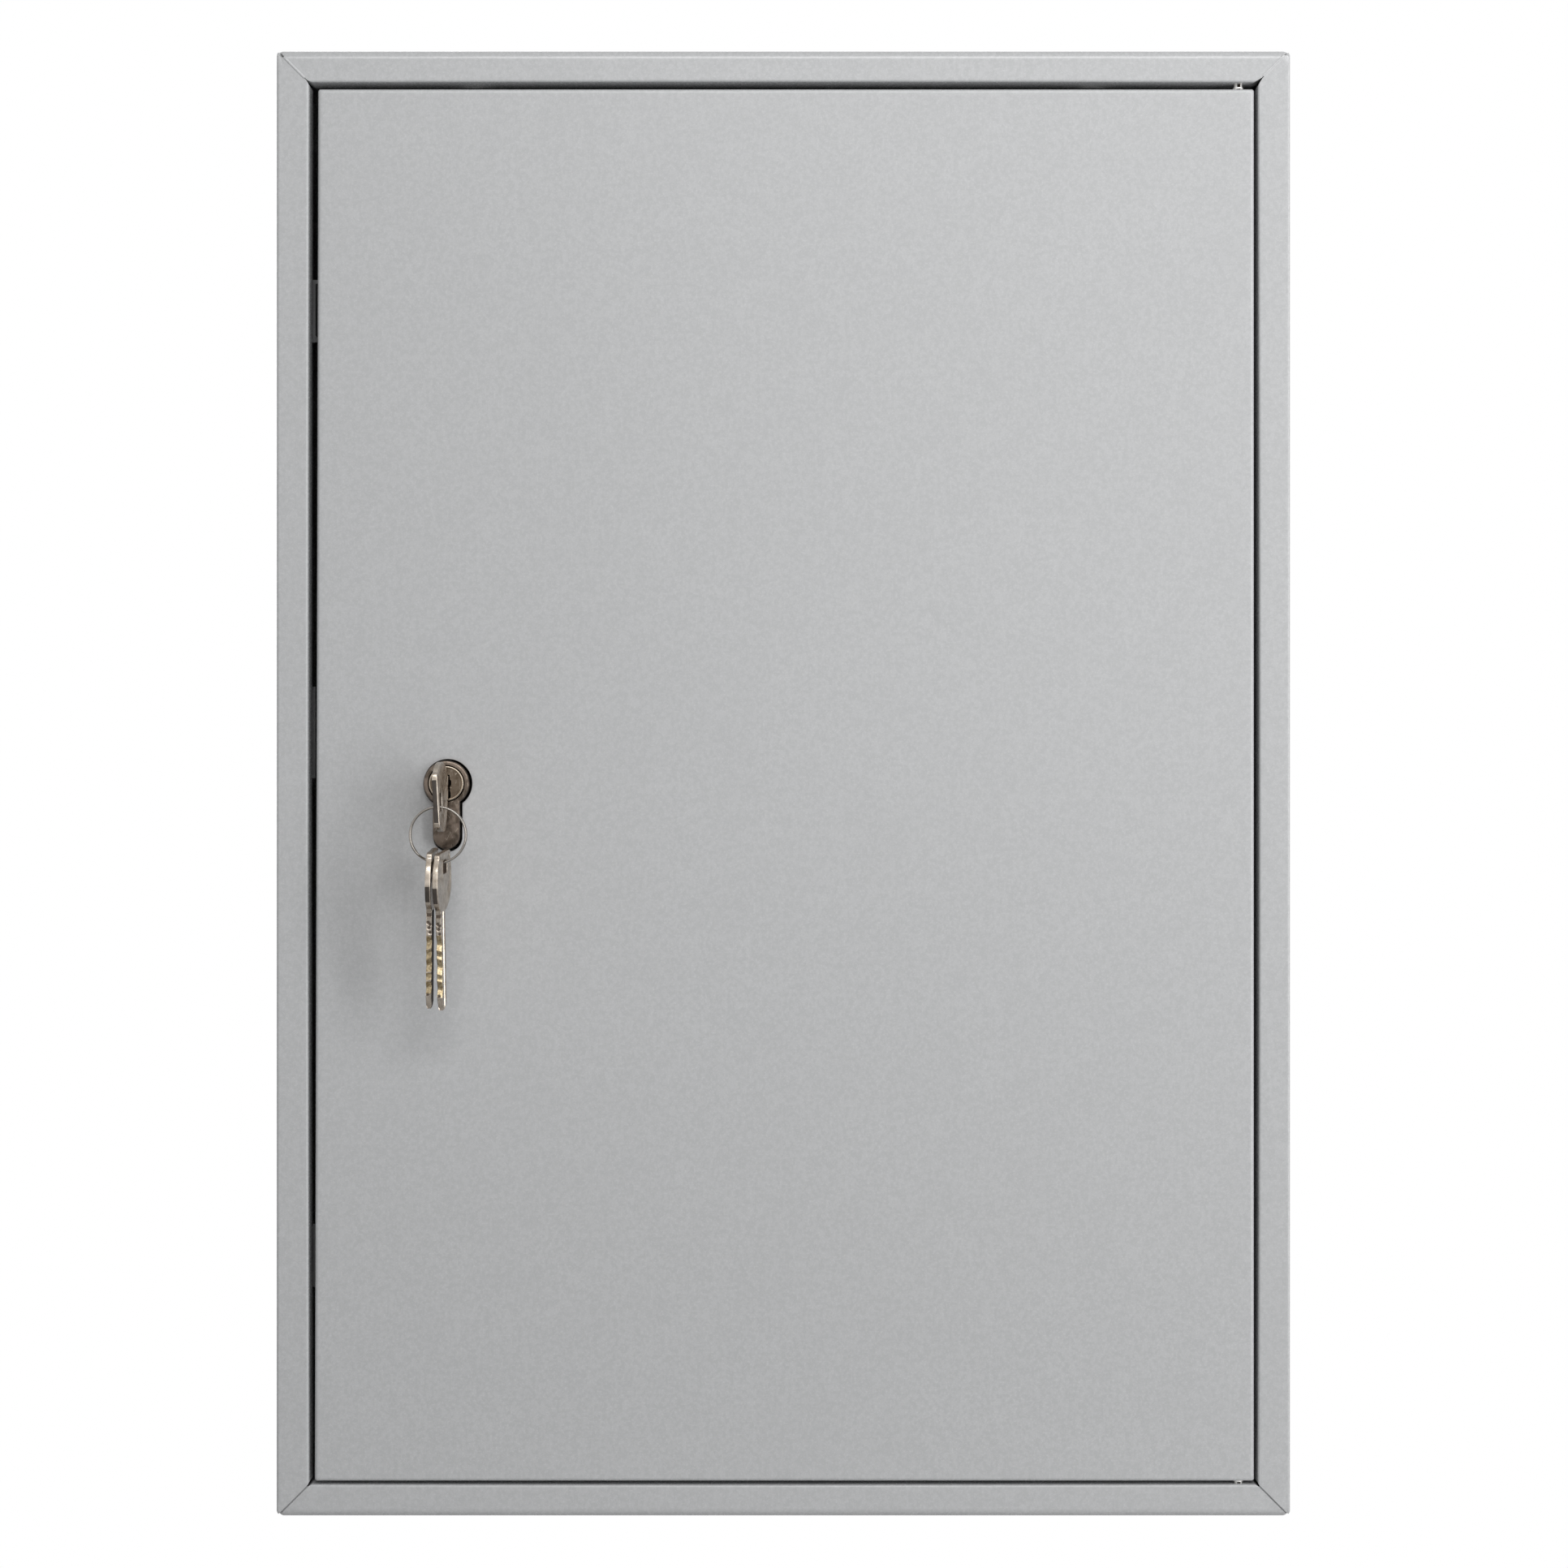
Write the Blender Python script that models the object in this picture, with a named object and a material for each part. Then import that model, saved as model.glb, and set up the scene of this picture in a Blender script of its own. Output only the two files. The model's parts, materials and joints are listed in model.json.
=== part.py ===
"""Wall-hung sheet-steel key cabinet with a half profile cylinder lock.

X points right, Y points back to the wall and Z points up, in metres. The origin is the
centre of the back panel's rear face, which lies against the wall. The door is shut and
unlocked, with its key in the lock and two spare keys on the key's ring.
"""

import math

import bmesh
import bpy
from mathutils import Matrix, Vector

# Case
WIDTH = 0.380
HEIGHT = 0.550
DEPTH = 0.140
SHEET = 0.0012
FOLD_INSIDE = 0.0003
FRONT_FLANGE = 0.0122
FRONT_RETURN = 0.010
REAR_FLANGE = 0.012
SEAM = 0.0003
SEAT = 0.0003
CUT_OVERRUN = 0.002
WALL_HOLE_DIAMETER = 0.009
WALL_HOLE_FROM_SIDE = 0.060
WALL_HOLE_FROM_TOP = 0.042

# Door
DOOR_GAP_LEFT = 0.0027
DOOR_GAP_RIGHT = 0.0013
DOOR_GAP_TOP = 0.0021
DOOR_GAP_BOTTOM = 0.0013
DOOR_FLANGE = 0.015

# Hinge pins
PIN_FROM_EDGE = 0.0056
PIN_FROM_FACE = 0.0035
PIN_DIAMETER = 0.003
PIN_HEAD_DIAMETER = 0.004
PIN_HEAD_HEIGHT = 0.0015
PIN_REACH = 0.006
PIN_HOLE_CLEARANCE = 0.0003

# Half profile cylinder
LOCK_BACKSET = 0.0491
CYLINDER_DIAMETER = 0.017
CYLINDER_HEIGHT = 0.033
CYLINDER_WEB = 0.010
CYLINDER_FRONT = 0.025
CYLINDER_REAR = 0.005
CYLINDER_PROUD = 0.003
CAM_ZONE = 0.010
CAM_BRIDGE = 0.0085
CUTOUT_ROUND_CLEARANCE = 0.0006
CUTOUT_WEB_CLEARANCE = 0.0004
PLUG_DIAMETER = 0.013
TURN_CLEARANCE = 0.0003
KEYWAY_CLEARANCE = 0.0003
CAM_WALL = 0.0014
CAM_END_GAP = 0.0003
CAM_FINGER_RADIUS = 0.0153
CAM_FINGER_WIDTH = 0.0052
CAM_REST_ANGLE = math.radians(45)
CLIP_THICKNESS = 0.0009
CLIP_WALL = 0.0016
CLIP_OPENING_ANGLE = math.radians(70)
CLIP_GROOVE_DEPTH = 0.0008
CYLINDER_SCREW_DIAMETER = 0.005
CYLINDER_SCREW_HEAD_DIAMETER = 0.009
CYLINDER_SCREW_HEAD_HEIGHT = 0.0026
CYLINDER_SCREW_HOLE_CLEARANCE = 0.0003
CYLINDER_SCREW_BELOW = 0.0203

# Bolt
BOLT_THICKNESS = 0.003
BOLT_LOW = 0.009
BOLT_HEIGHT = 0.021
BOLT_TIP_PROUD = 0.001
BOLT_TAIL = 0.0162
BOLT_THROW = 0.0176
BOLT_SLIDE_CLEARANCE = 0.0004
BOLT_NOTCH_WIDTH = 0.0092
BOLT_NOTCH_DEPTH = 0.0072
GUIDE_DIAMETER = 0.0046
GUIDE_SLOT_CLEARANCE = 0.0003
GUIDE_HEAD_DIAMETER = 0.008
GUIDE_HEAD_HEIGHT = 0.0014
GUIDE_COLLAR_DIAMETER = 0.008
GUIDE_TAIL_DIAMETER = 0.003
GUIDE_TAIL_PROUD = 0.001
GUIDE_ABOVE_BOLT = 0.0145
GUIDE_LEFT_INSET = 0.008
GUIDE_RIGHT_OFFSET = 0.002

# Lock case
CASE_LEFT = 0.042
CASE_RIGHT = 0.030
CASE_BELOW = 0.034
CASE_ABOVE = 0.040
CASE_DEPTH = 0.0327
CASE_EAR = 0.012
CASE_LIP = 0.003
STUD_DIAMETER = 0.004
STUD_LENGTH = 0.008
STUD_INSET = 0.012
STUD_HOLE_CLEARANCE = 0.0003
NUT_ACROSS_FLATS = 0.007
NUT_HEIGHT = 0.0032

# Strike and door stops
STRIKE_SHEET = 0.0015
STRIKE_LEG = 0.020
STRIKE_REACH = 0.0095
STRIKE_MARGIN = 0.007
STRIKE_BOLT_GAP = 0.0009
STOP_LEG = 0.020
STOP_REACH = 0.0185
STOP_HEIGHT = 0.024
STOP_FROM_END = 0.095
BUFFER_THICKNESS = 0.0032
BUFFER_WIDTH = 0.0078
BUFFER_HEIGHT = 0.020

# Hook bars and their rails
RAIL_WIDTH = 0.016
RAIL_DEPTH = 0.0105
RAIL_HEIGHT = 0.444
RAIL_FROM_SIDE = 0.026
BAR_COUNT = 8
BAR_PITCH = 0.056
BAR_BELOW = 0.013
BAR_ABOVE = 0.017
HOOK_COUNT = 8
HOOK_PITCH = 0.038
HOOK_WIDTH = 0.005
WINDOW_BELOW = 0.010
WINDOW_ABOVE = 0.008
HOOK_ROOT_REACH = 0.0014
HOOK_ROOT_RISE = 0.0008
HOOK_REACH = 0.012
HOOK_RISE = 0.0055
HOOK_TIP_REACH = 0.0142
HOOK_TIP_RISE = 0.0100
TAB_NOSE = 0.004
TAB_DROP = 0.005
TAB_NOSE_CLEARANCE = 0.0004
STRIP_HEIGHT = 0.0070
STRIP_THICKNESS = 0.0005
STRIP_MARGIN = 0.0010

# Keys
KEY_THICKNESS = 0.002
KEY_BOW_LENGTH = 0.0216
KEY_BOW_WIDTH = 0.0258
KEY_BLADE_LENGTH = 0.0354
KEY_BLADE_WIDTH = 0.008
KEY_BLADE_OFFSET = 0.0038
KEY_BLADE_DROP = 0.0012
KEY_FACE_GAP = 0.002
KEY_HOLE_LENGTH = 0.005
KEY_HOLE_WIDTH = 0.0066
KEY_HOLE_CORNER = 0.0016
KEY_HOLE_FROM_END = 0.003
KEY_HOLE_OFFSET = 0.0019
KEY_TIP_SLOPE = 0.0026
KEY_CUT_DEPTH = 0.0014

# Key ring
RING_DIAMETER = 0.0217
RING_WIRE = 0.0012
RING_TURNS_WIDTH = 0.0025
RING_SEAT = 0.00155
SPARE_SEAT = 0.00095
SPARE_1_OFFSET = 0.0030
SPARE_2_OFFSET = -0.0007
SPARE_TILT = math.radians(8.0)
SPARE_1_LEAN = math.radians(1.0)
SPARE_2_TURN = math.radians(-5.0)

# Bow outline: distance from the bow's end and half width, as shares of its length and half width
BOW_BLADE_SIDE_SHARES = ((0.0, 0.51), (0.10, 0.70), (0.26, 0.90), (0.50, 1.0), (0.70, 0.96),
                         (0.86, 0.82), (0.96, 0.62))
BOW_FREE_SIDE_SHARES = ((0.0, 0.75), (0.10, 0.86), (0.26, 0.96), (0.50, 1.0), (0.70, 0.92),
                        (0.86, 0.66), (0.96, 0.34))
# Key cuts: distance along the blade and depth, as shares of the blade and of the deepest cut
CUT_SHARES = ((0.20, 0.0), (0.27, 0.7), (0.34, 0.3), (0.41, 1.0), (0.48, 0.4), (0.55, 0.8),
              (0.62, 0.1), (0.69, 0.9), (0.76, 0.2), (0.83, 0.6), (0.88, 0.0))

# Facets
FOLD_STEPS = 3
SMALL_SEGMENTS = 12
ROUND_SEGMENTS = 24
RING_SECTION_SEGMENTS = 8

# Places worked out from the sizes above
FOLD = SHEET + FOLD_INSIDE
HALF_WIDTH = WIDTH / 2
HALF_HEIGHT = HEIGHT / 2
FRONT_Y = -DEPTH
MEMBER_REAR_Y = -(SHEET + SEAT)
OPENING_X = HALF_WIDTH - FRONT_FLANGE
OPENING_Z = HALF_HEIGHT - FRONT_FLANGE
WALL_INNER_X = HALF_WIDTH - SHEET

DOOR_LEFT = -OPENING_X + DOOR_GAP_LEFT
DOOR_RIGHT = OPENING_X - DOOR_GAP_RIGHT
DOOR_BOTTOM = -OPENING_Z + DOOR_GAP_BOTTOM
DOOR_TOP = OPENING_Z - DOOR_GAP_TOP
DOOR_INNER_Y = FRONT_Y + SHEET
DOOR_REAR_Y = FRONT_Y + DOOR_FLANGE

PIN_X = DOOR_RIGHT - PIN_FROM_EDGE
PIN_Y = FRONT_Y + PIN_FROM_FACE

LOCK_X = DOOR_LEFT + LOCK_BACKSET
CYLINDER_FACE_Y = FRONT_Y - CYLINDER_PROUD
CAM_FRONT_Y = CYLINDER_FACE_Y + CYLINDER_FRONT
CAM_REAR_Y = CAM_FRONT_Y + CAM_ZONE
CYLINDER_REAR_Y = CAM_REAR_Y + CYLINDER_REAR
CAM_CENTRE_Y = (CAM_FRONT_Y + CAM_REAR_Y) / 2
CYLINDER_RADIUS = CYLINDER_DIAMETER / 2
CYLINDER_BOTTOM = CYLINDER_HEIGHT - CYLINDER_RADIUS
PLUG_RADIUS = PLUG_DIAMETER / 2
CAM_BORE_RADIUS = PLUG_RADIUS + TURN_CLEARANCE
CAM_HUB_RADIUS = CAM_BORE_RADIUS + CAM_WALL

CASE_X0 = LOCK_X - CASE_LEFT
CASE_X1 = LOCK_X + CASE_RIGHT
CASE_FRONT_Y = DOOR_INNER_Y + SEAT
CASE_REAR_Y = CASE_FRONT_Y + CASE_DEPTH
CASE_PLATE_Y = CASE_REAR_Y - SHEET

BOLT_CENTRE_Y = CAM_CENTRE_Y
BOLT_FRONT_Y = BOLT_CENTRE_Y - BOLT_THICKNESS / 2
BOLT_REAR_Y = BOLT_CENTRE_Y + BOLT_THICKNESS / 2
BOLT_TOP = BOLT_LOW + BOLT_HEIGHT
BOLT_LEFT = CASE_X0 - BOLT_TIP_PROUD
BOLT_RIGHT = LOCK_X + BOLT_TAIL + BOLT_LOW
GUIDE_Z = BOLT_LOW + GUIDE_ABOVE_BOLT
GUIDE_XS = (CASE_X0 + GUIDE_LEFT_INSET, LOCK_X - GUIDE_RIGHT_OFFSET)

RAIL_X = HALF_WIDTH - RAIL_FROM_SIDE
RAIL_REAR_Y = -(SHEET + SEAT)
RAIL_FRONT_Y = RAIL_REAR_Y - RAIL_DEPTH
BAR_CENTRE_Y = RAIL_FRONT_Y - SEAT - SHEET / 2
BAR_FRONT_Y = BAR_CENTRE_Y - SHEET / 2
TAB_LOW = -WINDOW_BELOW
TAB_HIGH = WINDOW_ABOVE

KEY_LENGTH = KEY_BOW_LENGTH + KEY_BLADE_LENGTH
KEY_END_Y = CYLINDER_FACE_Y - KEY_FACE_GAP - KEY_BOW_LENGTH
KEY_BOW_Z = -(KEY_BLADE_DROP + KEY_BLADE_OFFSET)
RING_RADIUS = (RING_DIAMETER - RING_WIRE) / 2
RING_Y = KEY_END_Y + KEY_HOLE_FROM_END + KEY_HOLE_LENGTH / 2
RING_TOP_Z = KEY_BOW_Z - KEY_HOLE_OFFSET - KEY_HOLE_WIDTH / 2 + RING_SEAT
RING_CENTRE_Z = RING_TOP_Z - RING_RADIUS


def clear_scene():
    """Remove every object so that only the cabinet is left."""
    for item in list(bpy.data.objects):
        bpy.data.objects.remove(item, do_unlink=True)


def make_material(name, colour, roughness, metallic):
    """Make a Principled material from a linear colour."""
    material = bpy.data.materials.new(name)
    material.use_nodes = True
    shader = material.node_tree.nodes["Principled BSDF"]
    shader.inputs["Base Color"].default_value = (*colour, 1.0)
    shader.inputs["Roughness"].default_value = roughness
    shader.inputs["Metallic"].default_value = metallic
    return material


def make_pivot(name, place, parent=None):
    """Add an empty at a joint, placed in world coordinates under its parent empty."""
    pivot = bpy.data.objects.new(name, None)
    bpy.context.collection.objects.link(pivot)
    pivot["place"] = place
    pivot.parent = parent
    offset = Vector(parent["place"]) if parent else Vector((0, 0, 0))
    pivot.location = Vector(place) - offset
    return pivot


def finish_object(name, mesh_builder, material, pivot=None):
    """Turn a bmesh in world coordinates into an object whose origin is its pivot."""
    bmesh.ops.recalc_face_normals(mesh_builder, faces=mesh_builder.faces)
    mesh = bpy.data.meshes.new(name)
    mesh_builder.to_mesh(mesh)
    mesh_builder.free()
    if material:
        mesh.materials.append(material)
    item = bpy.data.objects.new(name, mesh)
    bpy.context.collection.objects.link(item)
    if pivot:
        mesh.transform(Matrix.Translation(-Vector(pivot["place"])))
        item.parent = pivot
    return item


def shade_round(item):
    """Shade a turned piece smooth and keep its edges crisp."""
    item.data.shade_smooth()
    item.data.set_sharp_from_angle(angle=math.radians(35))
    return item


def cut(item, cutter_builder, pivot=None):
    """Cut a shape out of an object with a hidden cutter."""
    cutter = finish_object(item.name + "_cutter", cutter_builder, None, pivot)
    cutter.hide_render = True
    cutter.display_type = "WIRE"
    boolean = item.modifiers.new("cut", "BOOLEAN")
    boolean.operation = "DIFFERENCE"
    boolean.solver = "EXACT"
    boolean.object = cutter


def loft(loops, closed=False):
    """Join equal loops of points with faces and cap the two ends, or close the row of loops."""
    built = bmesh.new()
    rows = [[built.verts.new(point) for point in loop] for loop in loops]
    count = len(rows[0])
    pairs = list(zip(rows, rows[1:]))
    if closed:
        pairs.append((rows[-1], rows[0]))
    for first, second in pairs:
        for index in range(count):
            following = (index + 1) % count
            built.faces.new((first[index], first[following], second[following], second[index]))
    if not closed:
        built.faces.new(rows[0])
        built.faces.new(rows[-1])
    return built


def box(x0, x1, y0, y1, z0, z1):
    """A box between two corners."""
    loops = []
    for y in (y0, y1):
        loops.append([(x0, y, z0), (x1, y, z0), (x1, y, z1), (x0, y, z1)])
    return loft(loops)


def circle_points(radius, segments, start=0.0, sweep=math.tau):
    """Points on a circle, or on an arc with both ends when it isn't a full turn."""
    full = math.isclose(abs(sweep), math.tau)
    steps = segments if full else segments - 1
    angles = [start + sweep * index / steps for index in range(segments)]
    return [(radius * math.cos(angle), radius * math.sin(angle)) for angle in angles]


def turned(profile, axis, centre, segments):
    """Turn a profile of (distance along the axis, radius) pairs about an X, Y or Z axis."""
    loops = []
    for along, radius in profile:
        ring = circle_points(radius, segments)
        loops.append([on_axis(axis, centre, along, first, second) for first, second in ring])
    return loft(loops)


def on_axis(axis, centre, along, first, second):
    """Place a point by its distance along an axis and two distances across it."""
    x, y, z = centre
    if axis == "X":
        return (x + along, y + first, z + second)
    if axis == "Y":
        return (x + first, y + along, z + second)
    return (x + first, y + second, z + along)


def plate(outline, holes, thickness, place):
    """Extrude a flat outline with holes, then place it by a matrix.

    The outline lies in the local XY plane, and the plate is centred on it.
    """
    built = bmesh.new()
    edges = []
    for loop in (outline, *holes):
        verts = [built.verts.new((x, y, -thickness / 2)) for x, y in loop]
        for index, vert in enumerate(verts):
            edges.append(built.edges.new((vert, verts[(index + 1) % len(verts)])))
    filled = bmesh.ops.triangle_fill(built, edges=edges, use_beauty=True, use_dissolve=False)
    faces = [item for item in filled["geom"] if isinstance(item, bmesh.types.BMFace)]
    grown = bmesh.ops.extrude_face_region(built, geom=faces, use_keep_orig=True)
    lifted = [item for item in grown["geom"] if isinstance(item, bmesh.types.BMVert)]
    bmesh.ops.translate(built, verts=lifted, vec=(0, 0, thickness))
    bmesh.ops.transform(built, matrix=place, verts=built.verts)
    return built


def facing_front(y):
    """A plate whose local X and Y run along world X and Z, centred at the depth y."""
    return Matrix(((1, 0, 0, 0), (0, 0, 1, y), (0, 1, 0, 0), (0, 0, 0, 1)))


def folded_outline(corners):
    """Outline of a folded sheet from the corners of its outer face, all turning one way."""
    outer = []
    inner = []
    points = [Vector(corner) for corner in corners]
    first_way = (points[1] - points[0]).normalized()
    last_way = (points[-1] - points[-2]).normalized()
    inward_first = (points[2] - points[1]).normalized()
    inward_last = (points[-3] - points[-2]).normalized()
    outer.append(points[0])
    inner.append(points[0] + inward_first * SHEET)
    for index in range(1, len(points) - 1):
        arriving = (points[index] - points[index - 1]).normalized()
        leaving = (points[index + 1] - points[index]).normalized()
        centre = points[index] + (leaving - arriving) * FOLD
        for step in range(FOLD_STEPS + 1):
            angle = math.pi / 2 * step / FOLD_STEPS
            ray = arriving * math.sin(angle) - leaving * math.cos(angle)
            outer.append(centre + ray * FOLD)
            inner.append(centre + ray * FOLD_INSIDE)
    outer.append(points[-1])
    inner.append(points[-1] + inward_last * SHEET)
    return [tuple(point) for point in outer + inner[::-1]]


def member_loops(outline, half_length):
    """Loops of a folded case member whose ends are mitred and rounded at the case's corners.

    Each loop point is (distance inward from the case's face, depth, place along the member).
    Near an end, points closer to the face than the corner radius follow an arc round it.
    """
    loops = []
    for step in range(FOLD_STEPS + 1):
        angle = math.pi / 4 * step / FOLD_STEPS
        loop = []
        for inward, depth in outline:
            radius = FOLD - inward
            if radius > 0:
                along = half_length - FOLD + radius * math.sin(angle)
                inward = FOLD - radius * math.cos(angle)
            else:
                draw_back = FOLD * (1 - step / FOLD_STEPS)
                along = half_length - inward - draw_back
            loop.append((inward, depth, along - SEAM / 2))
        loops.append(loop)
    mirrored = [[(inward, depth, -along) for inward, depth, along in loop] for loop in loops]
    return mirrored[::-1] + loops


def build_members(paint):
    """The four folded members: front return, front flange, wall and rear flange."""
    corners = ((FRONT_FLANGE, FRONT_Y + FRONT_RETURN), (FRONT_FLANGE, FRONT_Y), (0, FRONT_Y),
               (0, MEMBER_REAR_Y), (REAR_FLANGE, MEMBER_REAR_Y))
    outline = folded_outline(corners)
    places = {
        "side_left": (HALF_HEIGHT, lambda u, y, s: (-HALF_WIDTH + u, y, s)),
        "side_right": (HALF_HEIGHT, lambda u, y, s: (HALF_WIDTH - u, y, s)),
        "top_panel": (HALF_WIDTH, lambda u, y, s: (s, y, HALF_HEIGHT - u)),
        "bottom_panel": (HALF_WIDTH, lambda u, y, s: (s, y, -HALF_HEIGHT + u)),
    }
    members = {}
    for name, (half_length, to_world) in places.items():
        loops = [[to_world(*point) for point in loop] for loop in member_loops(outline, half_length)]
        members[name] = finish_object(name, loft(loops), paint)
    for name, side in (("top_panel", 1), ("bottom_panel", -1)):
        middle = side * (OPENING_Z + SHEET / 2)
        reach = SHEET / 2 + CUT_OVERRUN
        radius = PIN_DIAMETER / 2 + PIN_HOLE_CLEARANCE
        profile = ((-reach, radius), (reach, radius))
        cut(members[name], turned(profile, "Z", (PIN_X, PIN_Y, middle), SMALL_SEGMENTS))


def rounded_rectangle(x0, x1, z0, z1, radius, steps):
    """Outline of a rectangle with rounded corners."""
    outline = []
    corners = ((x1 - radius, z1 - radius, 0), (x0 + radius, z1 - radius, 1),
               (x0 + radius, z0 + radius, 2), (x1 - radius, z0 + radius, 3))
    for x, z, quarter in corners:
        for step in range(steps + 1):
            angle = math.pi / 2 * (quarter + step / steps)
            outline.append((x + radius * math.cos(angle), z + radius * math.sin(angle)))
    return outline


def build_back_panel(paint):
    """The flat back panel with four holes for the wall screws."""
    outline = rounded_rectangle(-HALF_WIDTH, HALF_WIDTH, -HALF_HEIGHT, HALF_HEIGHT, FOLD, FOLD_STEPS)
    hole_x = HALF_WIDTH - WALL_HOLE_FROM_SIDE
    hole_z = HALF_HEIGHT - WALL_HOLE_FROM_TOP
    holes = []
    for x in (-hole_x, hole_x):
        for z in (-hole_z, hole_z):
            ring = circle_points(WALL_HOLE_DIAMETER / 2, SMALL_SEGMENTS)
            holes.append([(x + across, z + up) for across, up in ring])
    finish_object("back_panel", plate(outline, holes, SHEET, facing_front(-SHEET / 2)), paint)


def build_hinge_pins(steel):
    """Two headed pins through the frame's returns into the door's top and bottom flanges."""
    for name, side, door_edge in (("hinge_pin_top", 1, DOOR_TOP), ("hinge_pin_bottom", -1, DOOR_BOTTOM)):
        return_z = side * (OPENING_Z + SHEET)
        tip = side * (door_edge - return_z) - SHEET - PIN_REACH
        profile = ((tip, PIN_DIAMETER / 2), (SEAT, PIN_DIAMETER / 2), (SEAT, PIN_HEAD_DIAMETER / 2),
                   (SEAT + PIN_HEAD_HEIGHT, PIN_HEAD_DIAMETER / 2))
        profile = [(side * along, radius) for along, radius in profile]
        pin = finish_object(name, turned(profile, "Z", (PIN_X, PIN_Y, return_z), SMALL_SEGMENTS), steel)
        shade_round(pin)


def bar_heights():
    """Heights of the hook bars' centres, from the top row down."""
    top = BAR_PITCH * (BAR_COUNT - 1) / 2
    return [top - BAR_PITCH * row for row in range(BAR_COUNT)]


def build_rails(zinc):
    """Two channel rails on the back panel, with a tall slot at each bar for its tab."""
    corners = ((0, RAIL_REAR_Y), (0, RAIL_FRONT_Y), (RAIL_WIDTH, RAIL_FRONT_Y), (RAIL_WIDTH, RAIL_REAR_Y))
    outline = folded_outline(corners)
    for name, side in (("rail_left", -1), ("rail_right", 1)):
        edge = side * RAIL_X - RAIL_WIDTH / 2
        loops = []
        for z in (-RAIL_HEIGHT / 2, RAIL_HEIGHT / 2):
            loops.append([(edge + across, y, z) for across, y in outline])
        rail = finish_object(name, loft(loops), zinc)
        half_slot = SHEET / 2 + SEAT
        middle = RAIL_FRONT_Y + SHEET / 2
        reach = SHEET / 2 + FOLD_INSIDE
        for centre in bar_heights():
            low = centre + TAB_LOW - SEAT
            high = centre + TAB_HIGH + TAB_DROP + SEAT
            cut(rail, box(side * RAIL_X - half_slot, side * RAIL_X + half_slot,
                          middle - reach, middle + reach, low, high))


def hook_bar_sheet():
    """Middle surface of a hook bar: a strip with windows, a hook bent out of each window's
    lower edge, and a tab bent back at each end that hooks down behind a rail.
    """
    built = bmesh.new()
    known = {}

    def vert(x, y, z):
        key = (round(x * 1e6), round(y * 1e6), round(z * 1e6))
        if key not in known:
            known[key] = built.verts.new((x, y, z))
        return known[key]

    def face(*points):
        built.faces.new([vert(*point) for point in points])

    rows = (-BAR_BELOW, -WINDOW_BELOW, WINDOW_ABOVE, BAR_ABOVE)
    first = -HOOK_PITCH * (HOOK_COUNT - 1) / 2
    columns = [-RAIL_X]
    for index in range(HOOK_COUNT):
        centre = first + HOOK_PITCH * index
        columns += [centre - HOOK_WIDTH / 2, centre + HOOK_WIDTH / 2]
    columns.append(RAIL_X)
    for column, (x0, x1) in enumerate(zip(columns, columns[1:])):
        for row, (z0, z1) in enumerate(zip(rows, rows[1:])):
            if column % 2 == 0 or row != 1:
                face((x0, 0, z0), (x1, 0, z0), (x1, 0, z1), (x0, 0, z1))
        if column % 2:
            path = ((0, 0), (HOOK_ROOT_REACH, HOOK_ROOT_RISE), (HOOK_REACH, HOOK_RISE),
                    (HOOK_TIP_REACH, HOOK_TIP_RISE))
            for (y0, rise0), (y1, rise1) in zip(path, path[1:]):
                z0 = rise0 - WINDOW_BELOW
                z1 = rise1 - WINDOW_BELOW
                face((x0, -y0, z0), (x1, -y0, z0), (x1, -y1, z1), (x0, -y1, z1))
    neck = SHEET / 2 + SEAT + SHEET + TAB_NOSE_CLEARANCE
    for x in (-RAIL_X, RAIL_X):
        face((x, 0, TAB_LOW), (x, neck, TAB_LOW), (x, neck, TAB_HIGH), (x, 0, TAB_HIGH))
        nose = neck + TAB_NOSE
        face((x, neck, TAB_LOW), (x, nose, TAB_LOW), (x, nose, TAB_HIGH), (x, neck, TAB_HIGH))
        drop = TAB_LOW - TAB_DROP
        face((x, neck, drop), (x, nose, drop), (x, nose, TAB_LOW), (x, neck, TAB_LOW))
    return built


def build_hook_bars(zinc, card):
    """The hook bars, hung in the rails, each with a strip for its numbers."""
    built = hook_bar_sheet()
    bmesh.ops.recalc_face_normals(built, faces=built.faces)
    mesh = bpy.data.meshes.new("hook_bar")
    built.to_mesh(mesh)
    built.free()
    mesh.materials.append(zinc)
    half_strip = HOOK_PITCH * HOOK_COUNT / 2
    for row, centre in enumerate(bar_heights(), start=1):
        bar = bpy.data.objects.new(f"hook_bar_{row}", mesh)
        bpy.context.collection.objects.link(bar)
        bar.location = (0, BAR_CENTRE_Y, centre)
        thicken = bar.modifiers.new("thickness", "SOLIDIFY")
        thicken.thickness = SHEET
        thicken.offset = 0
        thicken.use_even_offset = True
        low = centre + WINDOW_ABOVE + STRIP_MARGIN
        rear = BAR_FRONT_Y - SEAT
        strip = box(-half_strip, half_strip, rear - STRIP_THICKNESS, rear, low, low + STRIP_HEIGHT)
        finish_object(f"number_strip_{row}", strip, card)


def angle_bracket(reach, leg, sheet, front_y, z0, z1):
    """An angle on the left wall: one leg along the wall and one inwards at its front."""
    wall = -WALL_INNER_X + SEAT
    outline = ((wall, front_y), (wall + reach, front_y), (wall + reach, front_y + sheet),
               (wall + sheet, front_y + sheet), (wall + sheet, front_y + leg), (wall, front_y + leg))
    return loft([[(x, y, z) for x, y in outline] for z in (z0, z1)])


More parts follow.
